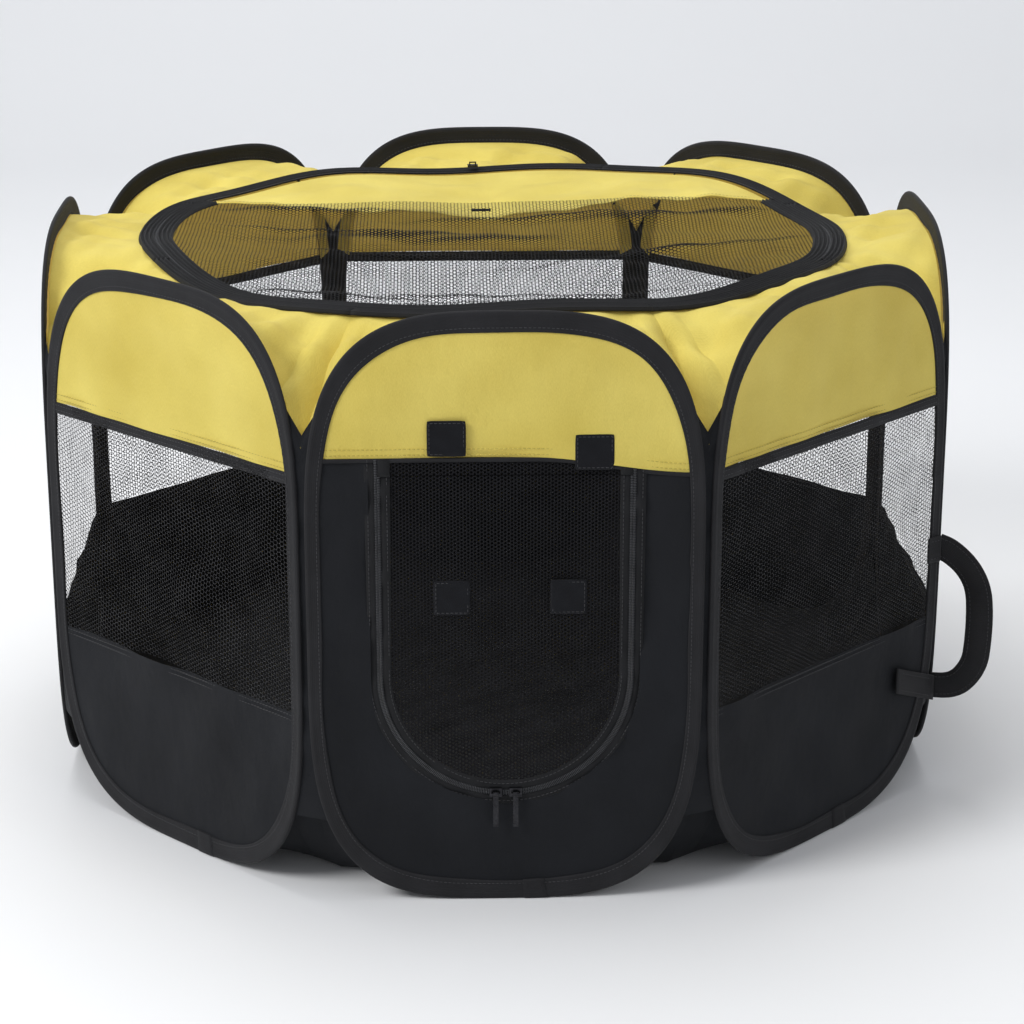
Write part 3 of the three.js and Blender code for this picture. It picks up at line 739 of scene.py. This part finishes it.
def add_door_mesh():
    radius = DOOR_RADIUS - ZIP_TAPE * SEWN_ON
    x = (spread(80) * radius)[None, :]
    bottom = DOOR_CENTRE_Z - np.sqrt(radius ** 2 - x ** 2)
    z = rows_between(bottom, np.full_like(x, DOOR_TOP_Z), 110)
    x = np.broadcast_to(x, z.shape)
    calm = np.clip(np.minimum(radius - np.abs(x), np.minimum(z - bottom, DOOR_TOP_Z - z)) / 0.03, 0, 1)
    lower = np.clip((0.30 - z) / 0.12, 0, 1)
    depth = calm * (0.0016 * ripple(x, z, 410, 0.10) + 0.0034 * lower * ripple(x, z * 1.4, 411, 0.035))
    piece = sheet_piece("door_mesh_panel", on_panel(0, x, depth, z), np.stack([x, z], -1), DOOR_MESH)
    stand_in(piece, "door_mesh", "door")


def add_door_header():
    """Strip of mesh from the flap's fold up to the hem, and the zip's inner tape beside it."""
    radius = DOOR_RADIUS - ZIP_TAPE / 2
    x = (np.linspace(-1, 1, 60) * (radius + ZIP_TAPE / 3))[None, :]
    z = rows_between(np.full_like(x, DOOR_TOP_Z + 0.0004), hem_line(0, x) - 0.002, 6)
    x = np.broadcast_to(x, z.shape)
    piece = sheet_piece("door_header_mesh", on_panel(0, x, 0.0006, z), np.stack([x, z], -1), DOOR_MESH)
    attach(piece, "panel_front")
    for hand, place in (("left", -radius), ("right", radius)):
        line = np.linspace(DOOR_TOP_Z, hem_above(place), 6)
        path = on_panel(0, place, -0.0004, line)
        name = f"door_header_tape_{hand}"
        tape = ribbon_piece(name, path, RIGHT, outward(0), ZIP_TAPE, TAPE_THICKNESS, ZIP)
        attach(tape, "panel_front")


def add_door_zip(label, radius, edge, body, replaced, top):
    """One side of the door's zip: its tape, the teeth along its edge and the seam that holds it."""
    line = door_outline(radius, top, 200)
    near = door_outline(radius + 0.002, top, 200)
    across = unit(line_on_panel(0, near, 0) - line_on_panel(0, line, 0))
    slack = 0.0005 * ripple(distances(line), 0 * line[:, 0], 420 + edge, 0.02)
    path = line_on_panel(0, line, slack)
    tape = ribbon_piece(f"door_zip_tape_{label}", path, across, outward(0), ZIP_TAPE, TAPE_THICKNESS, ZIP)
    stand_in(tape, replaced, body)
    coil = door_outline(DOOR_RADIUS + edge * COIL, top, 400)
    seam = door_outline(DOOR_RADIUS + edge * DOOR_SEAM, top, 400)
    teeth = [teeth_on(line_on_panel(0, coil, -COIL), outward(0), edge)]
    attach(marks_piece(f"door_teeth_{label}", teeth, TEETH), body)
    stitches = [stitches_on(line_on_panel(0, seam, -SEAM_LIFT), outward(0))]
    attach(marks_piece(f"door_zip_stitches_{label}", stitches, BLACK_THREAD), body)


def patch_points(low, high, bulge):
    """Slightly domed square with soft corners, whose outer points lie on the cloth."""
    s, t = np.meshgrid(np.linspace(-1, 1, 22), np.linspace(-1, 1, 22))
    rim = np.clip(1.06 - np.maximum(np.abs(s), np.abs(t)), 0, 0.12) / 0.12
    corner = 1 - 0.035 * (s * t) ** 6
    x = (low.x + high.x) / 2 + (high.x - low.x) / 2 * s * corner
    z = (low.z + high.z) / 2 + (high.z - low.z) / 2 * t * corner
    y = high.y - (high.y - low.y) * (0.35 + 0.5 * rim) - bulge * ripple(x, z, 430, 0.03)
    y = np.pad(y, 1, constant_values=high.y)
    return np.stack([np.pad(x, 1, mode="edge"), y, np.pad(z, 1, mode="edge")], -1)


def patch_border(low, high):
    inset = 0.0022
    left, right = low.x + inset, high.x - inset
    bottom, top = low.z + inset, high.z - inset
    x = [left, right, right, left, left]
    z = [bottom, bottom, top, top, bottom]
    return np.stack([x, np.full(5, low.y + 0.0002), z], 1)


def tape_patch(name, node, body, bulge):
    """Square of hook-and-loop tape with a stitched border."""
    low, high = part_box(node)
    points = patch_points(low, high, bulge)
    steps = np.linspace(0, 0.04, len(points))
    stand_in(sheet_piece(name, points, uv_grid(steps, steps), HOOK), node, body)
    rows = [stitches_on(patch_border(low, high), outward(0))]
    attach(marks_piece(f"{name}_stitches", rows, BLACK_THREAD), body)


def add_door():
    add_door_surround()
    add_door_mesh()
    add_door_zip("outer", DOOR_RADIUS + ZIP_TAPE / 2, 1, "panel_front", "door_zip_outer", ZIP_TOPS)
    add_door_zip("inner", DOOR_RADIUS - ZIP_TAPE / 2, -1, "door", "door_zip_inner", FLAP_TOPS)
    add_door_header()
    for hand in ("left", "right"):
        tape_patch(f"hook_patch_{hand}", f"door_patch_{hand}", "door", 0.0004)
        tape_patch(f"hook_tab_{hand}", f"roll_tab_{hand}", "panel_front", 0.0003)


# ---- Corners between the panels ----

GUSSET_LOW = CORNER_DIP - 0.006
GUSSET_HIGH = HEIGHT - CORNER_DIP + 0.004
GUSSET_TUCK = 0.006  # how far inside the fold line a gusset's middle hangs
HALF_TUCK = 0.008  # and where the two halves end at the open corner


def corner_point(side, z, inside):
    """Points at a distance inside the fold line between a panel and the next one."""
    turn = -math.pi / 2 + (side + 0.5) * TURN
    radius = CORNER_RADIUS - inside
    return np.stack(np.broadcast_arrays(radius * math.cos(turn), radius * math.sin(turn), z), -1)


def gusset_grid(start, end, middle, count):
    """Strip from one edge to the other through a middle line, curved like hanging cloth."""
    share = np.linspace(0, 1, count)[None, :, None]
    bowed = 2 * middle[:, None] * share * (1 - share)
    return start[:, None] * (1 - share) ** 2 + bowed + end[:, None] * share ** 2


def add_gusset(side):
    """Cloth that joins two neighbouring hoops from the floor's edge to the roof's edge. It is black all
    the way up: below the hem that is the cloth's own colour, above the hem it is painted shade in the gap
    between the hoops, where yellow cloth runs down.
    """
    name, following = PANELS[side], PANELS[(side + 1) % len(PANELS)]
    z = np.linspace(GUSSET_LOW, GUSSET_HIGH, 90)
    start = on_panel(side, half_width(z, 0.25), 0.0, z)
    end = on_panel(side + 1, -half_width(z, 0.25), 0.0, z)
    if side != OPEN_CORNER:
        points = gusset_grid(start, end, corner_point(side, z, GUSSET_TUCK), 9)
        near_fold = 1 - np.abs(np.linspace(-1, 1, 9))
        add_gusset_piece(f"gusset_{name}_{following}", points, z, near_fold, name, following)
        return
    fold = corner_point(side, z, HALF_TUCK)
    for edge, body in ((start, name), (end, following)):
        points = gusset_grid(edge, fold, (edge + fold) / 2, 5)
        add_gusset_piece(f"gusset_{body}", points, z, np.linspace(0, 1, 5), body)


def add_gusset_piece(label, points, z, near_fold, body, other=None):
    """The piece rides on one panel, or, when it spans the corner between two, is left in place with its
    transform baked in.
    """
    waves = 0.0008 * ripple(z[:, None], z[:, None], 500, 0.05)[..., None]
    points = points + waves * unit(-points * (1, 1, 0))
    above_hem = np.clip((points[..., 2] - HEM_Z) / (GUSSET_HIGH - HEM_Z), 0, 1)
    points[..., 2] -= 0.8 * CORNER_POINT * near_fold * above_hem
    v, u = np.meshgrid(np.linspace(0, 0.02, points.shape[1]), z)
    # Black: the cloth's own colour below the hem, painted shade in the gap between the hoops above it.
    piece = sheet_piece(label, points, np.stack([u, v], -1), BLACK)
    if other is None:
        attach(piece, f"panel_{body}")
        return
    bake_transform(piece)


# ---- Roof, floor and the lid's round zip ----

FLOOR_Z = 0.0026  # height of the floor's cloth over the ground
RING_SEAM = 0.0140  # from the round zip's middle line to the stitches on its tapes


def ring_height(turn):
    """Height of the round zip: the cloth holds it unevenly."""
    waves = 0.0040 * np.sin(3 * turn + 0.6) + 0.0035 * np.sin(5 * turn + 2.0) + 0.0022 * np.sin(9 * turn)
    return RING_Z + waves


def flatten_with_panel(piece, side):
    """The piece moves with its panel, with a mesh of its own."""
    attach(piece, f"panel_{PANELS[side]}")
    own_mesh(piece)


def finish_gore(piece, side, node):
    """An eighth of the roof or the floor; the first one is drawn in place of the whole node."""
    if side == 0:
        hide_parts(node)
    flatten_with_panel(piece, side)


def sewn_line(top):
    """Where a panel's share of the roof or the floor ends, as (x, depth, z) from corner to corner."""
    limit = HEIGHT - CORNER_DIP
    end = float(half_width(limit, DECK_INSET))
    x = spread(64) / 0.9995 * end
    z = arch_z(x, DECK_INSET)
    depth = np.full_like(x, DECK_DEPTH)
    corner = CORNER_RADIUS - CORNER_TUCK
    corner_x = corner * math.sin(TURN / 2)
    corner_depth = APOTHEM - corner * math.cos(TURN / 2)
    step = np.linspace(0, 1, 9)[:-1]
    left = np.stack([
        -corner_x + (corner_x - end) * step,
        corner_depth + (DECK_DEPTH - corner_depth) * step,
        limit - CORNER_POINT * (1 - step) ** 1.5,
    ], 1)
    right = (left * (-1, 1, 1))[::-1]
    line = np.vstack([left, np.stack([x, depth, z], 1), right])
    return line if top else np.stack([line[:, 0], line[:, 1], HEIGHT - line[:, 2]], 1)


def add_roof_gore(side, name):
    line = sewn_line(top=True)
    turn = np.arctan2(line[:, 0], APOTHEM - line[:, 1])
    radius = RING_RADIUS + RING_TAPE * 0.5
    share = np.linspace(0, 1, 26)[:, None]
    x = radius * np.sin(turn) * (1 - share) + line[:, 0] * share
    depth = (APOTHEM - radius * np.cos(turn)) * (1 - share) + line[:, 1] * share
    rim = ring_height(turn + side * TURN) - 0.0012
    z = rim + (line[:, 2] - rim) * share ** 1.25
    to_corner = TURN / 2 - np.abs(turn)
    middle = np.sin(math.pi * share)
    pleats = np.exp(-(to_corner / 0.13) ** 2) * np.sin(to_corner / 0.021) * middle
    world = on_panel(side, x, depth, z)
    z = z + 0.0068 * pleats + 0.0046 * middle * ripple(world[..., 0], world[..., 1], 600, 0.06)
    points = on_panel(side, x, depth, z)
    piece = sheet_piece(f"roof_gore_{name}", points, np.stack([x + 3.1 * side, depth - z], -1), YELLOW)
    finish_gore(piece, side, "roof")


def add_floor_gore(side, name):
    line = sewn_line(top=False)
    flat = 0.86
    share = np.concatenate([np.linspace(0, flat, 12), np.linspace(flat, 1, 12)[1:]])[:, None]
    turned_up = np.maximum(share - flat, 0) / (1 - flat)
    x = line[:, 0] * share
    depth = APOTHEM + (line[:, 1] - APOTHEM) * share
    world = on_panel(side, x, depth, 0)
    wave = 0.0016 * ripple(world[..., 0], world[..., 1], 610, 0.12)
    wave = wave * (1 - turned_up) * np.sin(math.pi * share) ** 0.5
    z = FLOOR_Z + wave + (line[:, 2] - FLOOR_Z) * turned_up ** 1.4
    piece = sheet_piece(f"floor_gore_{name}", on_panel(side, x, depth, z), world[..., :2], BLACK)
    finish_gore(piece, side, "floor")


def ring_path(radius, turns):
    """Points round the pen's centre; a turn of 0 is at the front and runs to the right."""
    return np.stack([radius * np.sin(turns), -radius * np.cos(turns), ring_height(turns)], 1)


def zip_pieces(label, radius, edge, turns):
    """Tape, teeth and seam of one side of the round zip over some turns."""
    path = ring_path(radius, turns)
    across = unit(path * (1, 1, 0))
    name = f"lid_zip_tape_{label}"
    tape = ribbon_piece(name, path, across, UP, RING_TAPE, TAPE_THICKNESS, ZIP, RIDGED_TAPE)
    coil = ring_path(RING_RADIUS + edge * COIL, turns) + (0, 0, COIL)
    seam = ring_path(RING_RADIUS + edge * RING_SEAM, turns) + (0, 0, SEAM_LIFT)
    teeth = marks_piece(f"lid_teeth_{label}", [teeth_on(coil, UP, edge)], TEETH)
    stitches = marks_piece(f"lid_zip_stitches_{label}", [stitches_on(seam, UP)], BLACK_THREAD)
    return tape, teeth, stitches


def add_outer_zip(side, name):
    turns = (side + np.linspace(-0.5, 0.5, 40)) * TURN
    pieces = zip_pieces(f"outer_{name}", RING_RADIUS + RING_TAPE / 2, 1, turns)
    if side == 0:
        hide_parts("roof_zip_outer")
    for piece in pieces:
        flatten_with_panel(piece, side)


# ---- Lid ----


def flatten_lid_piece(piece, body):
    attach(piece, body)
    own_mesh(piece)


def lid_creases(x, y):
    """Long shallow folds across the lid, and how closely they crease the mesh."""
    chance = np.random.default_rng(71)
    height = np.zeros(x.shape)
    crease = np.zeros(x.shape)
    for _ in range(16):
        centre = (chance.uniform(-0.22, 0.22), chance.uniform(-0.28, 0.20))
        tilt = chance.normal(0, 0.10)
        bend = chance.normal(0, 0.7)
        along = x - centre[0]
        off = y - centre[1] - tilt * along - bend * along ** 2
        reach = np.exp(-(along / chance.uniform(0.05, 0.16)) ** 2)
        width = chance.uniform(0.0025, 0.006)
        height += reach * np.exp(-(off / (2.5 * width)) ** 2) * 0.0045
        crease += reach * np.exp(-(off / width) ** 2)
    return height, np.clip(crease, 0, 1)


def lid_grid(columns, rows):
    radius = RING_RADIUS - RING_TAPE * SEWN_ON
    x = (spread(columns) * radius)[None, :]
    front = -np.sqrt(radius ** 2 - x ** 2)
    back = np.minimum(-front, LID_EDGE_Y)
    y = rows_between(front, back, rows)
    return np.broadcast_to(x, y.shape), y, radius


def lid_height(x, y, radius):
    """The rim's own height carried inwards, less a sag that vanishes at the rim and at the fold line."""
    turn = np.arctan2(x, -y)
    rim_share = np.clip(np.hypot(x, y) / radius, 0, 1) ** 2
    rim = RING_Z + (ring_height(turn) - RING_Z) * rim_share
    hollow = (radius ** 2 - x ** 2 - y ** 2) * (LID_EDGE_Y - y)
    return rim - LID_SAG * 0.9 * hollow / hollow.max()


def add_lid_mesh():
    x, y, radius = lid_grid(170, 150)
    folds, crease = lid_creases(x, y)
    calm = fade(y, -radius, LID_EDGE_Y, 0.03) * np.clip((radius - np.hypot(x, y)) / 0.03, 0, 1)
    z = lid_height(x, y, radius) + calm * (folds + 0.0020 * ripple(x, y, 70, 0.09))
    piece = sheet_piece("lid_mesh_panel", np.stack([x, y, z], -1), np.stack([x, y], -1), LID_MESH)
    layer = piece.data.attributes.new("crease", "FLOAT", "POINT")
    layer.data.foreach_set("value", (crease * calm).astype(np.float32).reshape(-1))
    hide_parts("lid_mesh")
    flatten_lid_piece(piece, "lid")


def add_lid_zip():
    open_turn = math.pi - math.acos((LID_EDGE_Y - 0.001) / (RING_RADIUS + 0.001))
    pieces = zip_pieces("inner", RING_RADIUS - RING_TAPE / 2, -1, np.linspace(-open_turn, open_turn, 240))
    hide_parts("lid_zip_inner")
    for piece in pieces:
        flatten_lid_piece(piece, "lid")


def crescent_droop(x):
    """How far the crescent's front edge hangs below the ring: most at its middle."""
    return 0.013 * np.clip(1 - (x / 0.26) ** 2, 0, 1) + 0.0018 * ripple(x, 0 * x, 72, 0.06)


def add_crescent():
    radius = RING_RADIUS - RING_TAPE * 0.3
    end = math.sqrt(radius ** 2 - CRESCENT_EDGE_Y ** 2)
    x = (np.linspace(-1, 1, 120) * end)[None, :]
    back = np.sqrt(np.maximum(radius ** 2 - x ** 2, CRESCENT_EDGE_Y ** 2))
    y = rows_between(np.full_like(x, CRESCENT_EDGE_Y), back, 28)
    x = np.broadcast_to(x, y.shape)
    share = np.linspace(0, 1, 28)[:, None]
    turn = np.arctan2(x, -y)
    z = ring_height(turn) - 0.001 - crescent_droop(x) * (1 - share) ** 2
    z = z + 0.0020 * np.sin(math.pi * share) * ripple(x, y, 73, 0.08)
    piece = sheet_piece("crescent_cloth", np.stack([x, y, z], -1), np.stack([x, y], -1), YELLOW)
    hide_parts("lid_back_panel")
    flatten_lid_piece(piece, "base")
    add_crescent_hem(x[0], z[0])


def add_crescent_hem(x, z):
    width = 0.009
    path = np.stack([x, np.full_like(x, CRESCENT_EDGE_Y + width / 2), z + 0.0002], 1)
    hem = ribbon_piece("crescent_hem", path, (0.0, 1.0, 0.0), UP, width, 0.0018, YELLOW)
    flatten_lid_piece(hem, "base")
    rows = [stitches_on(path + (0, 0.0020, 0.0010), UP)]
    flatten_lid_piece(marks_piece("crescent_stitches", rows, YELLOW_THREAD), "base")


def add_keeper():
    """Small folded tab of binding tape at the crescent's edge."""
    low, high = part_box("lid_keeper_tab")
    middle = (low.x + high.x) / 2
    droop = float(crescent_droop(np.array([middle]))[0])
    y = np.linspace(low.y, high.y, 9)
    lift = 0.0012 * np.sin(np.linspace(0, math.pi, 9))
    top = max(high.z, RING_Z)
    path = np.stack([np.full(9, middle), y, top - droop * 0.8 + lift], 1)
    piece = ribbon_piece("keeper_tape", path, RIGHT, UP, high.x - low.x, 0.0018, BINDING)
    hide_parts("lid_keeper_tab")
    flatten_lid_piece(piece, "base")


# ---- Carry strap ----

STRAP_WIDTH = 0.028
STRAP_REACH = 0.060
STRAP_TOP_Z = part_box("carry_strap")[1].z
STRAP_BOTTOM_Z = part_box("carry_strap")[0].z
STRAP_SEAM = 0.0095  # from the webbing's middle to each row of stitches
TAIL_STEP = 0.0011  # the sewn tails' height over the binding


def strap_line():
    """Middle line of the strap, as distance out from the corner and height."""
    half = STRAP_WIDTH / 2
    far = STRAP_REACH - half
    return np.array([
        (-0.0015, STRAP_TOP_Z - half), (0.012, STRAP_TOP_Z - half - 0.004),
        (0.031, STRAP_TOP_Z - 0.034), (far - 0.003, STRAP_TOP_Z - 0.056), (far, STRAP_TOP_Z - 0.085),
        (far, STRAP_BOTTOM_Z + 0.070), (far - 0.002, STRAP_BOTTOM_Z + 0.047),
        (0.032, STRAP_BOTTOM_Z + 0.027), (0.018, STRAP_BOTTOM_Z + 0.018),
        (-0.0015, STRAP_BOTTOM_Z + half + 0.002),
    ])


def smooth_line(points, passes=3):
    """Rounds a line's corners by cutting them, keeping its ends."""
    for _ in range(passes):
        near = points[:-1] * 0.75 + points[1:] * 0.25
        far = points[:-1] * 0.25 + points[1:] * 0.75
        between = np.stack([near, far], 1).reshape(-1, points.shape[1])
        points = np.vstack([points[:1], between, points[-1:]])
    return points


def add_strap():
    line = resample(smooth_line(strap_line()), 120)
    turn = -math.pi / 2 + 1.5 * TURN
    out = np.array([math.cos(turn), math.sin(turn), 0.0])
    sideways = np.array([-math.sin(turn), math.cos(turn), 0.0])
    share = np.linspace(0, 1, len(line))
    curl = 0.0032 * np.sin(math.pi * share) * np.sin(5 * share + 0.4)
    path = (CORNER_RADIUS + line[:, :1]) * out + line[:, 1:] * UP + curl[:, None] * sideways
    ahead = unit(np.gradient(path, axis=0))
    lean = 0.12 * np.sin(2.6 * math.pi * share) * np.sin(math.pi * share)
    across = unit(np.cross(ahead, sideways))
    face = unit(np.cross(ahead, across))
    cos, sin = np.cos(lean)[:, None], np.sin(lean)[:, None]
    across, face = across * cos + face * sin, face * cos - across * sin
    piece = ribbon_piece("strap_webbing", path, across, face, STRAP_WIDTH, 0.0020, WEBBING)
    stand_in(piece, "carry_strap", "carry_strap")
    rows = [stitches_on(path + across * offset + face * side * 0.0010, face * side)
            for offset in (-STRAP_SEAM, STRAP_SEAM) for side in (-1, 1)]
    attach(marks_piece("strap_stitches", rows, BLACK_THREAD), "carry_strap")
    add_strap_tails()


def add_strap_tails():
    """The strap's two ends, sewn flat to the panel's binding beside the corner."""
    tails = (("upper", STRAP_TOP_Z - 0.015, 0.020, 0.1), ("lower", STRAP_BOTTOM_Z + 0.015, 0.066, 0.4))
    for label, z, length, slope in tails:
        x = np.linspace(HALF_WIDTH - 0.001 - length, HALF_WIDTH + 0.0005, 16)
        lift = z + (HALF_WIDTH - x) * slope
        path = on_panel(1, x, -HALF_BINDING - TAIL_STEP, lift)
        piece = ribbon_piece(f"strap_tail_{label}", path, UP, outward(1), STRAP_WIDTH, 0.0018, WEBBING)
        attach(piece, "panel_front_right")
        depth = -HALF_BINDING - TAIL_STEP - 0.0010
        rows = [stitches_on(on_panel(1, x[2:-2], depth, lift[2:-2] + offset), outward(1))
                for offset in (-STRAP_SEAM, STRAP_SEAM)]
        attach(marks_piece(f"strap_tail_stitches_{label}", rows, BLACK_THREAD), "panel_front_right")


# ---- Small metal parts, kept from the model ----

def round_edges(piece):
    modifier = piece.modifiers.new("rounded edges", "BEVEL")
    modifier.width = SLIDER_EDGE
    modifier.segments = 3
    modifier.limit_method = "ANGLE"
    modifier.harden_normals = False


def finish_node(name, material):
    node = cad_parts[name]
    node.data.materials.clear()
    node.data.materials.append(material)
    return node


def add_lid_slider():
    """The lid's slider in its own shape, able to move in with the round zip as the pen folds."""
    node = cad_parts["lid_slider"]
    points = np.array([node.matrix_world @ vertex.co for vertex in node.data.vertices])
    faces = np.array([list(face.vertices) for face in node.data.polygons])
    piece = new_piece("lid_zip_slider", points, faces, METAL)
    piece.data.polygons.foreach_set("use_smooth", np.zeros(len(faces), bool))
    round_edges(piece)
    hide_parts("lid_slider")
    flatten_lid_piece(piece, "lid_slider")


def finish_kept_nodes():
    for name in PANELS:
        finish_node(f"hoop_{name}", STEEL)
    for name in ("door_slider_left", "door_slider_right", "door_pull_left", "door_pull_right"):
        round_edges(finish_node(name, METAL))


# ---- Studio ----

FLOOR_FRONT = -6.0
BEND_START = 3.2  # where the floor begins to curve up
BEND = 1.6  # radius of the curve
WALL_TOP = 6.0
FLOOR_HALF = 7.0  # half width
LIGHTS = (  # name, place, what it's aimed at, diameter, power
    ("key", (-2.8, -1.9, 2.9), (0, 0, 0.3), 1.6, 105),
    ("fill", (2.8, -2.6, 2.2), (0, 0, 0.3), 2.4, 14),
    ("top", (-0.2, 0.6, 3.6), (0, 0, 0.4), 2.6, 62),
)
SKY = (0.93, 0.95, 1.0, 1)
SKY_STRENGTH = 0.52
AZIMUTH = math.radians(-1.73)
ELEVATION = math.radians(18.4)
TARGET = Vector((0.0199, 0.0, 0.2414))
DISTANCE = 2.983
LENS = 95.3


def add_stage():
    """Pale floor that curves up into a backdrop far behind the pen. Its colour is painted lighter towards
    the back: painted light.
    """
    surface = Surface("studio_floor")
    grain = surface.noise(3, 3)
    # Painted light: the colour grows lighter along the floor towards the backdrop; the grain adds random
    # tone.
    painted_light_and_grain = surface.blend((surface.v, 0.11), (grain, 0.06), (1.0, 0.25))
    near, far = (0.74, 0.745, 0.752), (0.955, 0.962, 0.97)
    material = surface.finish(Base_Color=surface.ramp(painted_light_and_grain, (0.0, near), (0.8, far)), Roughness=0.75)
    turn = np.linspace(0, math.pi / 2, 24)
    bend = np.stack([BEND_START + BEND * np.sin(turn), BEND - BEND * np.cos(turn)], 1)
    profile = np.vstack([[(FLOOR_FRONT, 0.0)], bend, [(BEND_START + BEND, WALL_TOP)]])
    x = np.array([-FLOOR_HALF, FLOOR_HALF])[:, None]
    points = np.stack(np.broadcast_arrays(x, profile[:, 0], profile[:, 1] - 0.0002), -1)
    floor = sheet_piece("studio_floor", points, points[..., :2], material)


def add_light(name, place, aim, size, power):
    data = bpy.data.lights.new(name, "AREA")
    data.shape = "DISK"
    data.size = size
    data.energy = power
    light = link(name, data)
    light.location = place
    light.rotation_euler = (Vector(aim) - Vector(place)).to_track_quat("-Z", "Y").to_euler()


def add_studio():
    add_stage()
    for light in LIGHTS:
        add_light(*light)
    world = bpy.data.worlds.new("studio")
    world.use_nodes = True
    background = world.node_tree.nodes["Background"]
    background.inputs["Color"].default_value = SKY
    background.inputs["Strength"].default_value = SKY_STRENGTH
    bpy.context.scene.world = world
    bpy.context.scene.view_settings.view_transform = "Standard"


def add_camera():
    level = math.cos(ELEVATION)
    heading = Vector((math.sin(AZIMUTH) * level, -math.cos(AZIMUTH) * level, math.sin(ELEVATION)))
    data = bpy.data.cameras.new("camera")
    data.sensor_width = 36
    data.lens = LENS
    camera = link("camera", data)
    camera.location = TARGET + heading * DISTANCE
    camera.rotation_euler = (-heading).to_track_quat("-Z", "Y").to_euler()
    bpy.context.scene.camera = camera


# ---- Assembly ----

def add_panel(side, name):
    add_binding(side, name)
    add_upper(side, name)
    if name != "front":
        add_window(side)
        add_lower(side, name)
    add_gusset(side)
    add_roof_gore(side, name)
    add_floor_gore(side, name)
    add_outer_zip(side, name)


for number, panel in enumerate(PANELS):
    add_panel(number, panel)
add_door()
add_lid_mesh()
add_lid_zip()
add_crescent()
add_keeper()
add_strap()
finish_kept_nodes()
add_lid_slider()
add_studio()
add_camera()
